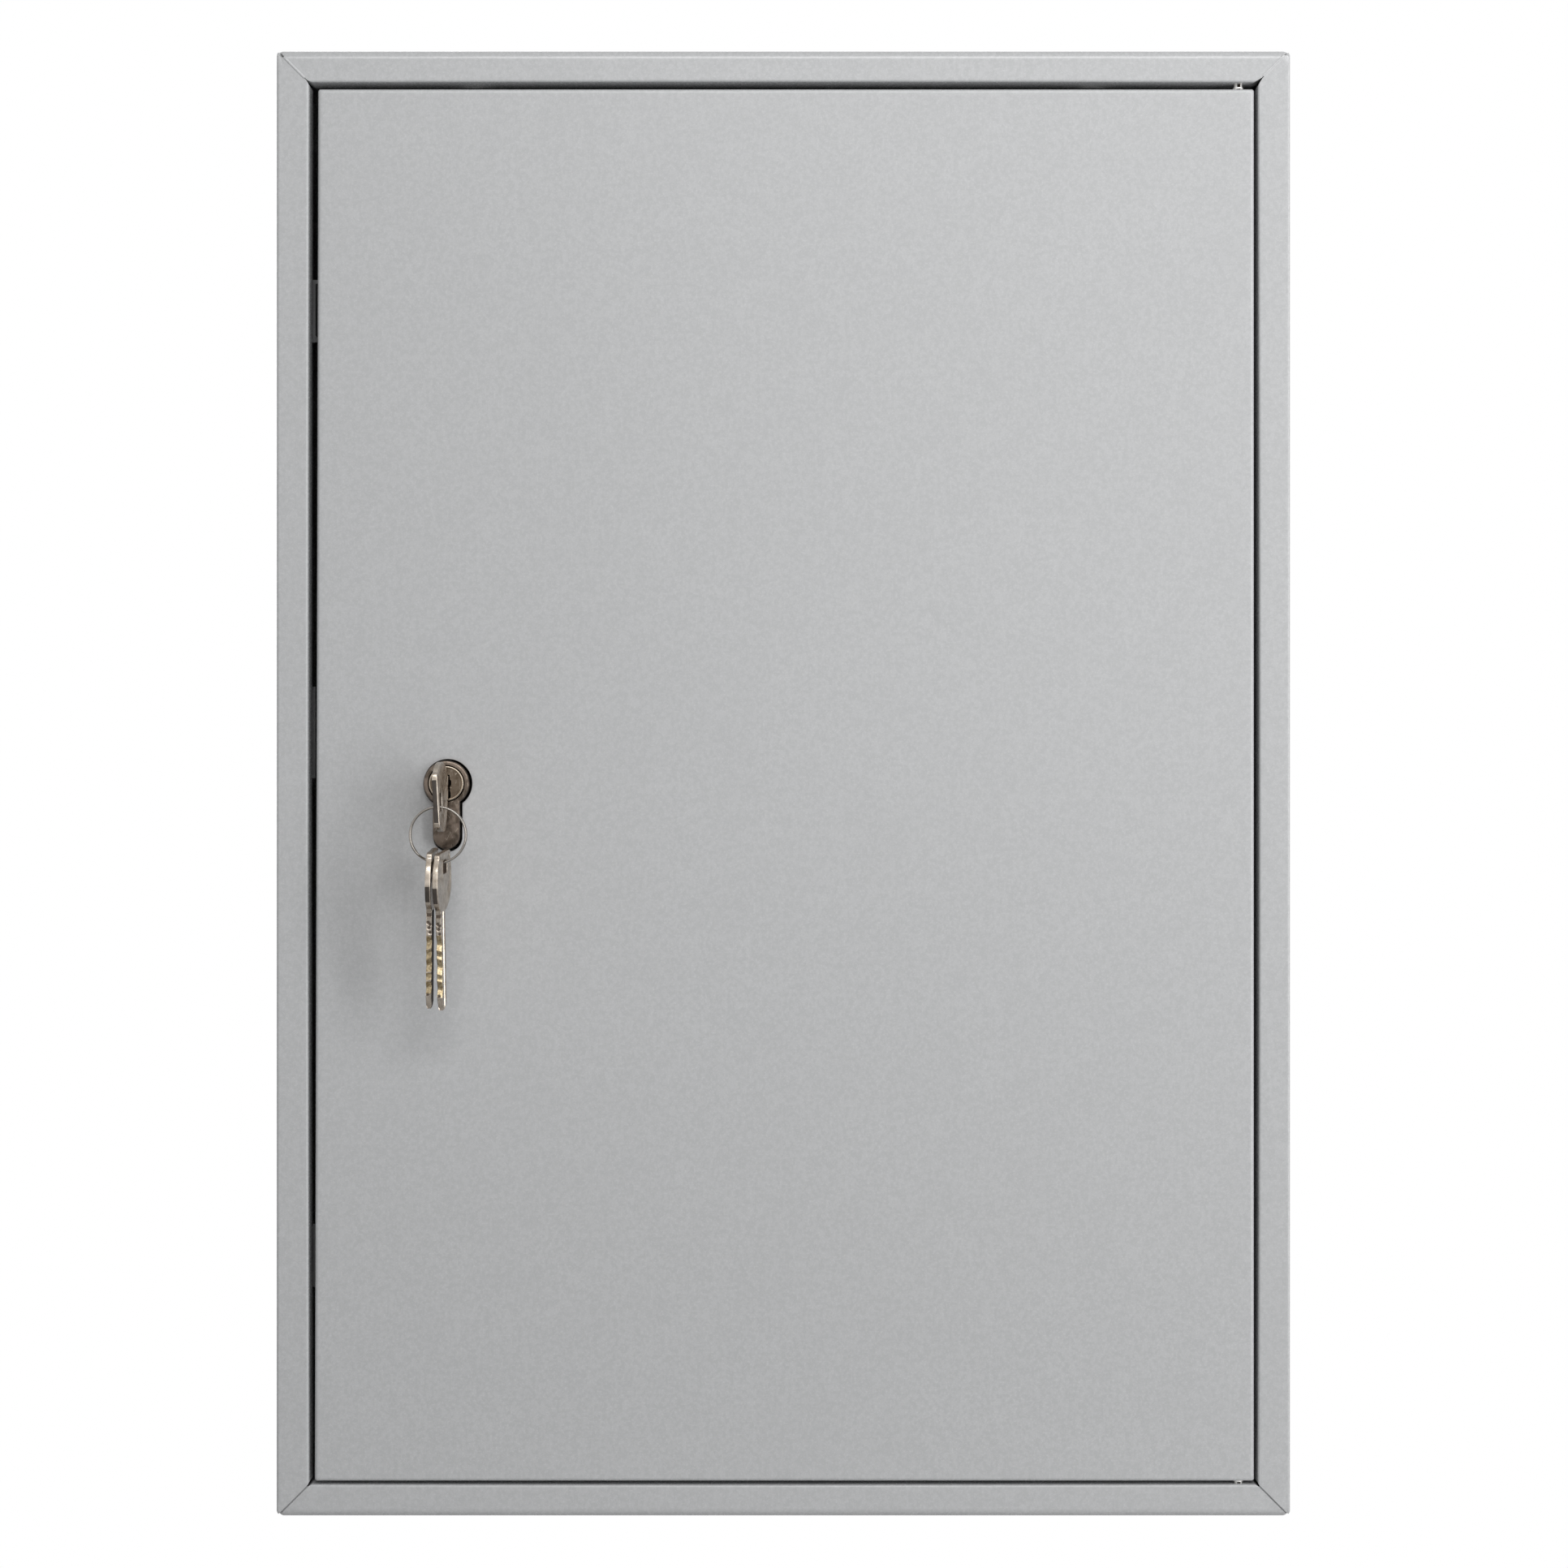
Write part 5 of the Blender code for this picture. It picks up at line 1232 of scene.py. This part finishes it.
@dataclass
class ProfileCylinder:
    """The half profile cylinder's body and its turning plug."""

    x: float = -0.1260
    face_y: float = -0.143
    cam_front_y: float = -0.118
    cam_rear_y: float = -0.108
    rear_y: float = -0.103
    radius: float = 0.0085
    half_web: float = 0.005
    foot_z: float = -0.0195
    bridge_z: float = -0.016
    bore: float = 0.0068
    chamfer: float = 0.0007
    plug_radius: float = 0.0065
    plug_rear_y: float = -0.1083
    rim_width: float = 0.0008
    rim_height: float = 0.00025
    groove_y: float = -0.1176
    groove_depth: float = 0.0006
    keyway_mm: tuple[tuple[float, float], ...] = (
        (-1.3, 3.1), (1.3, 3.1), (1.3, 1.35), (1.75, 1.0), (1.75, -0.6), (1.35, -0.95), (1.3, -2.5),
        (1.62, -3.3), (1.7, -4.7), (1.45, -5.5), (-1.3, -5.5), (-1.3, -1.9), (-1.65, -1.5),
        (-1.65, 0.9), (-1.3, 1.3))
    keyway_points: int = 110
    bore_edge: float = 0.00015
    cam_edge: float = 0.0002
    bridge_lap: float = 0.0001
    chamfer_steps: int = 3
    even_rays: int = 120
    web_rays: int = 70
    web_margin: float = 0.03

    def outline(self, angle: np.ndarray) -> np.ndarray:
        """Reach of the cylinder's outline along each ray, worked out as the door's cut-out is."""
        shape = Door(cut_radius=self.radius, cut_half_web=self.half_web, cut_foot_z=self.foot_z)
        return shape.cut_out(angle)

    def body(self) -> None:
        """Make the body: a bored front with eased edges, the bridge under the cam, and the rear."""
        angle = np.unique(keyhole_rays(self.even_rays, self.web_rays, self.radius, self.half_web,
                                       self.web_margin).round(9))
        ray = np.column_stack([np.cos(angle), np.sin(angle)])
        reach = self.outline(angle)

        def ring(reaches: np.ndarray, depth: float) -> np.ndarray:
            return at_depth(ray * reaches[:, None] + (self.x, 0.0), depth)

        bore = np.full(len(angle), self.bore)
        face, cut, eased, entry = self.face_y, self.chamfer, self.cam_edge, self.bore_edge
        front = [ring(bore, self.cam_front_y), ring(bore, face + entry), ring(bore + entry, face)]
        front += [ring(reach - inset, face + depth)
                  for inset, depth in quarter_round(cut, self.chamfer_steps)]
        front += [ring(reach, self.cam_front_y - eased), ring(reach - eased, self.cam_front_y)]
        surface = Surface().grid(np.stack(front), wrap_rows=True, wrap_columns=True)
        rear = [ring(reach - eased, self.cam_rear_y), ring(reach, self.cam_rear_y + eased),
                ring(reach, self.rear_y - cut), ring(reach - cut, self.rear_y)]
        surface.tube(np.stack(rear))
        low = circle(self.half_web, 31, math.pi, math.pi) + (0.0, self.foot_z)
        block = np.vstack([low, [[self.half_web, self.bridge_z], [-self.half_web, self.bridge_z]]])
        bridge = np.stack([at_depth(block + (self.x, 0.0), depth)
                           for depth in (self.cam_front_y - self.bridge_lap,
                                         self.cam_rear_y + self.bridge_lap)])
        surface.tube(bridge)
        make_piece("cylinder_body_turned", surface, [CYLINDER_NICKEL], "door",
                   ["cylinder_body"])

    def plug(self) -> None:
        """Make the plug: keyway walls, a scratched face, a polished rim and the turned outside.

        The rings run out from the keyway's end. Each ray's point on a ring is the keyway's
        point there, or its way out from the axis times the ring's radius.
        """
        slot = along_outline(np.array(self.keyway_mm) * MILLIMETRE, self.keyway_points)
        way = slot / np.linalg.norm(slot, axis=1)[:, None]
        rim, face = self.plug_radius - self.rim_width, self.face_y

        def ring(place: np.ndarray, depth: float) -> np.ndarray:
            return at_depth(place + (self.x, 0.0), depth)

        rings = [ring(slot, self.plug_rear_y), ring(slot, face + 0.00025),
                 ring(slot + way * 0.00015, face + 0.00005)]
        rings += [ring(way * rim, face + 0.00005)]
        rows_on_face = len(rings)
        crown = circle(1.0, 7, math.pi, -math.pi)
        rings += [ring(way * (rim + self.rim_width / 2 * (1 + across)), face - self.rim_height * up)
                  for across, up in crown]
        rows_on_rim = len(rings)
        wide, waist = self.plug_radius, self.plug_radius - self.groove_depth
        outside = ((wide, face + 0.0004), (wide, self.groove_y - 0.0004),
                   (waist, self.groove_y - 0.0004), (waist, self.groove_y + 0.0009),
                   (wide, self.groove_y + 0.0009), (wide, self.plug_rear_y - 0.0003),
                   (wide - 0.0003, self.plug_rear_y))
        rings += [ring(way * radius, depth) for radius, depth in outside]
        marks = np.zeros((len(rings), len(slot)), int)
        marks[rows_on_face - 1:rows_on_rim - 1] = 1
        surface = Surface().grid(np.stack(rings), wrap_rows=True, wrap_columns=True, mark=marks)
        make_piece("cylinder_plug_turned", surface, [PLUG_NICKEL, RIM_NICKEL], "plug",
                   ["cylinder_plug"])

    def build(self) -> None:
        """Make the body and the plug."""
        self.body()
        self.plug()


def along_outline(corners: np.ndarray, count: int, closed: bool = True) -> np.ndarray:
    """Points on straight runs between corners, even by length, with every corner kept."""
    line = np.vstack([corners, corners[:1]]) if closed else np.asarray(corners, float)
    length = np.concatenate([[0], np.cumsum(np.linalg.norm(np.diff(line, axis=0), axis=1))])
    even = np.linspace(0, length[-1], count, endpoint=not closed)
    kept = np.unique(np.concatenate([length[:-1] if closed else length, even]).round(10))
    return np.column_stack([np.interp(kept, length, line[:, axis]) for axis in (0, 1)])


def reach_by_angle(outline: np.ndarray, centre: np.ndarray, angle: np.ndarray) -> np.ndarray:
    """How far an outline lies from a centre along each angle, read off its closely set points."""
    way = outline - centre
    turn = np.arctan2(way[:, 1], way[:, 0])
    order = np.argsort(turn)
    return np.interp(angle, turn[order], np.linalg.norm(way, axis=1)[order], period=math.tau)


@dataclass
class Key:
    """A pin tumbler key: punched bow, grooved blade and its cuts, used for all three keys.

    Local X runs from the bow's end to the tip, Y across with the cuts on the high side, and Z
    through the thickness.
    """

    name: str
    body: str
    place: Matrix
    # The bow's near edge gets painted shade between dark_from and dark_to along it, below dark_top
    # and above dark_low across it: a dark reflection painted on
    dark_from: float
    dark_to: float
    dark_top: float = 0.02
    lean: float = 0.0
    twist: float = 0.0
    skew: float = 0.0
    cut_slope: float = 0.72
    # Finish of the blade's grooved flank; 3 is painted shade
    flank_mark: int = 0
    thickness: float = 0.002
    bow_length: float = 0.0216
    bow_half_width: float = 0.0129
    cut_side: tuple[tuple[float, float], ...] = (
        (0.96, 0.62), (0.86, 0.82), (0.70, 0.96), (0.50, 1.0), (0.26, 0.90), (0.10, 0.70),
        (0.0, 0.51))
    free_side: tuple[tuple[float, float], ...] = (
        (0.0, 0.75), (0.10, 0.86), (0.26, 0.96), (0.50, 1.0), (0.70, 0.92), (0.86, 0.66),
        (0.96, 0.34))
    blade_low: float = -0.0002
    blade_high: float = 0.0078
    tip_x: float = 0.0578
    tip_slope: float = 0.0026
    hole: tuple[float, float, float, float] = (0.003, 0.008, -0.0052, 0.0014)
    hole_corner: float = 0.0016
    edge: float = 0.00032
    field_depth: float = 0.00012
    blade_thickness: float = 0.00196
    groove_depth: float = 0.00042
    cut_x: tuple[float, ...] = (0.0330, 0.0372, 0.0413, 0.0455, 0.0496)
    cut_depth: tuple[float, ...] = (0.0014, 0.0009, 0.0015, 0.0006, 0.0013)
    cut_half_flat: float = 0.0004
    slot_x: tuple[float, float] = (0.0221, 0.0235)
    slot_depth: float = 0.00022
    dimples: tuple[tuple[float, float], ...] = (
        (0.0256, -0.00030), (0.0263, 0.00035), (0.0276, 0.0), (0.0293, 0.00035),
        (0.0523, -0.00035))
    dimple_radius: float = 0.00078
    dimple_depth: float = 0.0003
    hole_edge: float = 0.0002
    field_from: float = 0.16
    field_to: float = 0.24
    field_slope: float = 0.00015
    # Lower bound of the painted-shade stretch on the bow's near edge
    dark_low: float = -0.0098
    rays: int = 200
    edge_steps: int = 4
    blade_edge: float = 0.00014
    crest_points: int = 9
    section_step: float = 0.0002
    sharp_degrees: float = 40.0

    def bow_outline(self) -> np.ndarray:
        """The bow's outline, rounded by a smooth curve through its given points.

        Between two points the curve is the usual cubic whose slope at each point is half the
        chord between that point's neighbours.
        """
        size = np.array([self.bow_length, self.bow_half_width])
        low = np.array(self.free_side) * size * (1, -1)
        high = np.array(self.cut_side) * size
        neck = np.array([[self.bow_length, self.blade_low], [self.bow_length, self.blade_high]])
        given = np.vstack([low, neck, high])
        share = np.linspace(0, 1, 12, endpoint=False)[None, :, None]
        before, start, end, after = (np.roll(given, step, axis=0)[:, None]
                                     for step in (1, 0, -1, -2))
        leave, arrive = (end - before) / 2, (after - start) / 2
        curve = (start * (1 + share ** 2 * (2 * share - 3)) + end * share ** 2 * (3 - 2 * share)
                 + leave * share * (1 - share) ** 2 + arrive * share ** 2 * (share - 1))
        straight = start + (end - start) * share
        flat = np.isclose(given, np.roll(given, -1, axis=0)).any(axis=1)[:, None, None]
        return along_outline(np.where(flat, straight, curve).reshape(-1, 2), 900)

    def hole_outline(self) -> np.ndarray:
        """The hole's outline: an oblong with a quarter circle at each corner."""
        x0, x1, y0, y1 = self.hole
        corner = self.hole_corner
        middles = ((x1 - corner, y1 - corner), (x0 + corner, y1 - corner),
                   (x0 + corner, y0 + corner), (x1 - corner, y0 + corner))
        arcs = [circle(corner, 9, number * math.pi / 2, math.pi / 2) + middle
                for number, middle in enumerate(middles)]
        return along_outline(np.vstack(arcs), 400)

    def bow(self, surface: Surface) -> None:
        """Add the bow as rings between its hole and its outline, over both faces and both edges.

        Along each ray from the hole's middle a ring lies at the hole's reach plus a share of
        the way to the outline. Near an edge it follows a quarter circle. A key that sags in its
        lock leans: towards the bow's end each point moves sideways by its share of the bow's
        length times the lean, plus the twist times its height above the hole's middle.
        """
        x0, x1, y0, y1 = self.hole
        centre = np.array([(x0 + x1) / 2, (y0 + y1) / 2])
        angle = np.linspace(-math.pi, math.pi, self.rays, endpoint=False)
        ray = np.column_stack([np.cos(angle), np.sin(angle)])
        inner = reach_by_angle(self.hole_outline(), centre, angle)
        outer = reach_by_angle(self.bow_outline(), centre, angle)
        half = self.thickness / 2

        def ring(reach: np.ndarray, height: float) -> np.ndarray:
            place = centre + ray * reach[:, None]
            return np.column_stack([place, np.full(len(angle), height)])

        place = centre + ray * outer[:, None]
        dark = ((place[:, 0] > self.dark_from) & (place[:, 0] < self.dark_to)
                & (place[:, 1] > self.dark_low) & (place[:, 1] < self.dark_top))
        up = [(inner + inset, half - depth)
              for inset, depth in quarter_round(self.hole_edge, self.edge_steps)]
        sunk = half - self.field_depth
        start = inner + (outer - inner) * self.field_from
        stop = outer - (outer - inner) * self.field_to
        up += [(start, half), (start + self.field_slope, sunk), (stop, sunk),
               (stop + self.field_slope, half)]
        up += [(outer - inset, half - depth)
               for inset, depth in quarter_round(self.edge, self.edge_steps)]
        rings = [ring(reach, height) for reach, height in up]
        rings += [ring(reach, -height) for reach, height in reversed(up)]
        bow = np.stack(rings)
        share = (self.bow_length - bow[..., 0]) / self.bow_length
        bow[..., 2] -= share * (self.lean + self.twist * (bow[..., 1] - centre[1]))
        marks = np.zeros(bow.shape[:2], int)
        # Painted shade: the near edge's quads in that stretch take the painted-shade finish
        marks[len(up) - 1:len(up) + 5] = np.where(dark & np.roll(dark, -1), 3, 0)
        # The hole's inner wall is darkened with the dark-hollows finish
        marks[-1] = 2
        surface.grid(bow, wrap_rows=True, wrap_columns=True, mark=marks)

    def pits(self, along: np.ndarray, across: np.ndarray) -> np.ndarray:
        """Depth of the slot at the shoulder and of the drilled dimples, on a grid.

        A dimple's depth is its greatest depth times one less the squared distance from its
        middle, over its radius squared, and nothing beyond that radius.
        """
        x, z = along[:, None], across[None]
        slot = np.where((x > self.slot_x[0]) & (x < self.slot_x[1]), self.slot_depth, 0.0)
        round_pits = [np.maximum(0, 1 - ((x - at) ** 2 + (z - to) ** 2) / self.dimple_radius ** 2)
                      for at, to in self.dimples]
        return np.maximum(slot, self.dimple_depth * np.max(round_pits, axis=0))

    def blade(self, surface: Surface) -> None:
        """Add the blade as sections along X: two grooved sides, the back, and the cut edge.

        The cut edge lies at the blade's height less the depth of the cuts: each has a flat
        bottom and sloping sides, and where two meet the deeper one counts. The cutter may stand
        askew, so that a cut's place shifts by the skew times the place across the thickness.
        """
        along = np.concatenate([np.linspace(self.bow_length - 0.0014, 0.0222, 6),
                                np.arange(0.0224, 0.0545, self.section_step),
                                np.linspace(0.0546, self.tip_x, 10)])
        half, eased, deep = self.blade_thickness / 2, self.blade_edge, self.groove_depth
        across = np.linspace(half - eased, -half + eased, self.crest_points)
        levels = np.array([half, *across, -half])
        side = along[:, None, None] + self.skew * levels[:, None] - np.array(self.cut_x)
        side = np.maximum(0, np.abs(side) - self.cut_half_flat)
        cut = np.maximum(0, np.array(self.cut_depth) - side * self.cut_slope).max(axis=2)
        tip = np.interp(along, (0.0528, self.tip_x), (0, self.tip_slope))
        back = self.blade_low + np.interp(along, (self.tip_x - self.tip_slope, self.tip_x),
                                          (0, self.tip_slope))
        top = self.blade_high - cut - tip[:, None]
        thin = np.interp(along, (self.tip_x - 0.0012, self.tip_x), (1.0, 0.62))
        crest = top[:, 1:-1] - self.pits(along, across)
        rows = len(along)

        def column(height: np.ndarray | float, level: float) -> np.ndarray:
            return np.stack([along, np.broadcast_to(height, rows), level * thin], axis=-1)

        columns = [column(back + eased, -half), column(back, -half + eased),
                   column(back, half - eased), column(back + eased, half)]
        right = ((0.0026, half), (0.0029, half - deep), (0.0041, half - deep), (0.0044, half))
        floor, shallow = -half + deep, -half + deep * 0.7
        left = ((0.0058, -half), (0.0055, floor), (0.0045, floor), (0.0042, -half),
                (0.0032, -half), (0.0030, shallow), (0.0026, shallow), (0.0024, -half))
        columns += [column(height, level) for height, level in right]
        columns += [column(top[:, 0] - eased, half)]
        columns += [column(crest[:, number], level) for number, level in enumerate(across)]
        columns += [column(top[:, -1] - eased, -half)]
        columns += [column(height, level) for height, level in left]
        sections = np.stack(columns, axis=1)
        first_crest = 4 + len(right)
        marks = np.zeros((rows - 1, len(columns)), int)
        # The grooved flank takes the flank_mark finish; 3 is painted shade
        marks[:, 3:first_crest] = self.flank_mark
        fresh = (cut[:-1, 5] + cut[1:, 5]) / 2 > 0.00004
        marks[fresh, first_crest:first_crest + len(across) + 1] = 1
        # Slot and dimples are darkened with the dark-hollows finish
        dark = self.pits(along, across)
        hollow = (dark[:-1, :-1] + dark[1:, 1:]) / 2 > 0.00012
        marks[:, first_crest + 1:first_crest + len(across)] = np.where(
            hollow, 2, marks[:, first_crest + 1:first_crest + len(across)])
        surface.grid(sections, wrap_columns=True, mark=marks).cap(sections[0]).cap(sections[-1])

    def build(self) -> None:
        """Make the key in its own frame, carry it to its place, and dress it."""
        surface = Surface()
        self.bow(surface)
        self.blade(surface)
        turn = np.array(self.place)
        surface.points = [points @ turn[:3, :3].T + turn[:3, 3] for points in surface.points]
        make_piece(f"{self.name}_cut", surface, [KEY_NICKEL, CUT_BRASS, DARK_HOLLOWS_AND_PAINTED_SHADE, KEY_PAINTED_SHADE],
                   self.body, [self.name], self.sharp_degrees)


@dataclass
class SplitRing:
    """The split ring: spring wire wound twice round, with a step between the turns."""

    centre: tuple[float, float, float] = (-0.1269, -0.1611, -0.0189)
    radius: float = 0.01025
    wire: float = 0.0012
    wire_across: float = 0.00088
    turns_width: float = 0.0025
    seam: float = math.radians(-127.5)
    end_gap: float = math.radians(12.0)
    step_half: float = math.radians(10.0)
    wire_points: int = 18
    path_points: int = 250
    end_size: float = 0.72

    def build(self) -> None:
        """Sweep the wire's flattened circle along the two turns.

        At an angle from the seam the wire's middle is a radius out, and its depth runs from the
        front turn's to the rear one's by the usual smooth step (three squares less two cubes)
        while it passes the seam.
        """
        angle = np.linspace(self.end_gap, 2 * math.tau - self.end_gap, self.path_points)
        share = np.clip((angle - math.tau + self.step_half) / (2 * self.step_half), 0, 1)
        depth = (self.turns_width - self.wire) * (share ** 2 * (3 - 2 * share) - 0.5)
        out = at_depth(np.column_stack([np.cos(angle + self.seam), np.sin(angle + self.seam)]), 0.0)
        back = np.array([0.0, 1.0, 0.0])
        middle = np.array(self.centre) + out * self.radius + depth[:, None] * back
        section = circle(self.wire / 2, self.wire_points) * (self.wire_across / self.wire, 1)
        size = np.ones_like(angle)
        size[[0, -1]] = self.end_size
        section = section * size[:, None, None]
        rings = middle[:, None] + out[:, None] * section[..., :1] + back * section[..., 1:]
        make_piece("key_ring_wound", Surface().tube(rings), [RING_NICKEL], "ring",
                   ["key_ring"])


@dataclass(frozen=True)
class Spare:
    """How one spare key hangs on the wire, and how its cuts were made."""

    number: int
    pivot: tuple[float, float, float]
    turn: Matrix
    offset: float
    skew: float
    cut_slope: float
    # Finish of the blade's grooved flank: 3 paints the shadow that the other key casts there
    flank_mark: int


@dataclass
class KeySet:
    """The key in the lock and the two spare keys that hang from its ring."""

    lock_key_place: tuple[float, float, float] = (-0.126, -0.1666, -0.005)
    spares: tuple[Spare, ...] = (
        # The first spare's flank_mark of 3 paints the shadow that the second key casts on its flank
        Spare(1, (-0.129, -0.1611, -0.028701), Matrix.Rotation(math.radians(1.0), 4, "Y"),
              0.0030, 0.45, 0.72, 3),
        Spare(2, (-0.1253, -0.1611, -0.029126), Matrix.Rotation(math.radians(-5.0), 4, "Z"),
              -0.0007, -0.25, 0.5, 0))
    spare_tilt: float = math.radians(5.0)
    seat: float = 0.00395
    hole_offset: float = -0.0014
    half_thickness: float = 0.001
    ring_radius: float = 0.01025

    def hung(self, pivot: Sequence[float], turn: Matrix, offset: float) -> Matrix:
        """A spare key's place: hung by its hole on the wire, tilted back and turned.

        Off the ring's middle the wire climbs across half the key's thickness by that half times
        the slope there, which the key is lowered by.
        """
        rise = self.half_thickness * math.tan(math.asin(abs(offset) / self.ring_radius))
        upright = Matrix(((0, 0, 1, 0), (0, -1, 0, 0), (-1, 0, 0, 0), (0, 0, 0, 1)))
        return (Matrix.Translation(pivot) @ turn @ Matrix.Rotation(self.spare_tilt, 4, "X")
                @ Matrix.Translation((0, self.hole_offset, self.seat + rise)) @ upright)

    def build(self) -> None:
        """Make the three keys and the ring."""
        inward = Matrix(((0, 0, 1, 0), (1, 0, 0, 0), (0, 1, 0, 0), (0, 0, 0, 1)))
        # dark_from and dark_to bound each bow's painted dark reflection on its near edge
        Key("key_in_lock", "key", Matrix.Translation(self.lock_key_place) @ inward,
            dark_from=-1.0, dark_to=0.0006, dark_top=0.0064, lean=0.00115, twist=0.055).build()
        for spare in self.spares:
            Key(f"spare_key_{spare.number}", f"spare_{spare.number}",
                self.hung(spare.pivot, spare.turn, spare.offset), dark_from=0.0114,
                dark_to=0.0178, skew=spare.skew, cut_slope=spare.cut_slope,
                flank_mark=spare.flank_mark).build()
        SplitRing().build()


@dataclass(frozen=True)
class Lamp:
    """A soft rectangular lamp: its place, the point it faces, its size and its power in watts."""

    name: str
    place: tuple[float, float, float]
    aim: tuple[float, float, float]
    width: float
    height: float
    power: float

    def build(self) -> None:
        """Add the lamp, turned to face its aim."""
        data = bpy.data.lights.new(self.name, "AREA")
        data.shape = "RECTANGLE"
        data.size, data.size_y = self.width, self.height
        data.energy = self.power
        item = add_object(self.name, data)
        item.location = self.place
        way = Vector(self.aim) - Vector(self.place)
        item.rotation_euler = way.to_track_quat("-Z", "Y").to_euler()


@dataclass
class Studio:
    """Camera, pale floor, white surroundings and soft lamps."""

    lens: float = 67.4
    camera_place: tuple[float, float, float] = (0.00025, -1.24, -0.0002)
    floor_z: float = -0.60
    floor_near: float = -3.0
    floor_far: float = 0.95
    floor_side: float = 2.2
    ambient: float = 0.205
    lamps: tuple[Lamp, ...] = (
        Lamp("key_lamp", (0.5, -1.1, 0.6), (0, -0.1, 0), 1.5, 1.5, 4.5),
        Lamp("top_softbox", (0.2, -1.3, 1.0), (0, -0.14, 0.1), 1.3, 0.30, 9.0),
        Lamp("rear_fill", (-0.9, 1.5, 0.5), (0, 0, 0), 1.2, 1.2, 9.0),
        Lamp("side_strip", (1.15, -1.0, 0.1), (0, -0.14, 0), 0.30, 1.3, 8.0))

    def camera(self) -> None:
        """Set the camera level and square on, as the photograph was taken."""
        data = bpy.data.cameras.new("photo_camera")
        data.lens = self.lens
        data.sensor_width = 36.0
        data.sensor_fit = "HORIZONTAL"
        data.clip_start = 0.01
        item = add_object("photo_camera", data)
        item.location = self.camera_place
        item.rotation_euler = (math.pi / 2, 0.0, 0.0)
        bpy.context.scene.camera = item

    def floor(self) -> None:
        """Lay a pale matt floor below the hung cabinet, out of the photograph's view."""
        mesh = bpy.data.meshes.new("floor")
        side, near, far = self.floor_side, self.floor_near, self.floor_far
        corners = ((-side, near), (side, near), (side, far), (-side, far))
        mesh.from_pydata([(x, y, self.floor_z) for x, y in corners], [], [(0, 1, 2, 3)])
        mesh.materials.append(FLOOR_MATT.material())
        add_object("floor", mesh)

    def surroundings(self) -> None:
        """Make the world white where it is seen or mirrored, and dimmer as a source of light."""
        world = bpy.data.worlds.new("white_surroundings")
        bpy.context.scene.world = world
        world.use_nodes = True
        tree = world.node_tree
        tree.nodes.clear()
        ray = add_node(tree, "ShaderNodeLightPath").outputs
        seen = add_node(tree, "ShaderNodeMath", {0: ray["Is Camera Ray"], 1: ray["Is Glossy Ray"]},
                        operation="MAXIMUM")
        shown = add_node(tree, "ShaderNodeMath", {0: seen, 1: ray["Is Transmission Ray"]},
                         operation="MAXIMUM")
        strength = add_node(tree, "ShaderNodeMapRange", {"Value": shown, "To Min": self.ambient})
        light = add_node(tree, "ShaderNodeBackground", {"Color": linear("#FFFFFF"),
                                                        "Strength": strength})
        add_node(tree, "ShaderNodeOutputWorld", {"Surface": light})

    def build(self) -> None:
        """Set the camera, the floor, the surroundings and the lamps."""
        bpy.context.scene.view_settings.view_transform = "Standard"
        self.camera()
        self.floor()
        self.surroundings()
        for lamp in self.lamps:
            lamp.build()


def main() -> None:
    """Build the cabinet's sub-assemblies in order."""
    logging.basicConfig(level=logging.INFO, format="%(name)s: %(message)s")
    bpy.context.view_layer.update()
    case = CaseShell()
    case.build()
    HingePins(case).build()
    KeyBoard().build()
    Strike().build()
    Door().build()
    LockHardware().build()
    ProfileCylinder().build()
    KeySet().build()
    Studio().build()


if __name__ == "__main__":
    main()
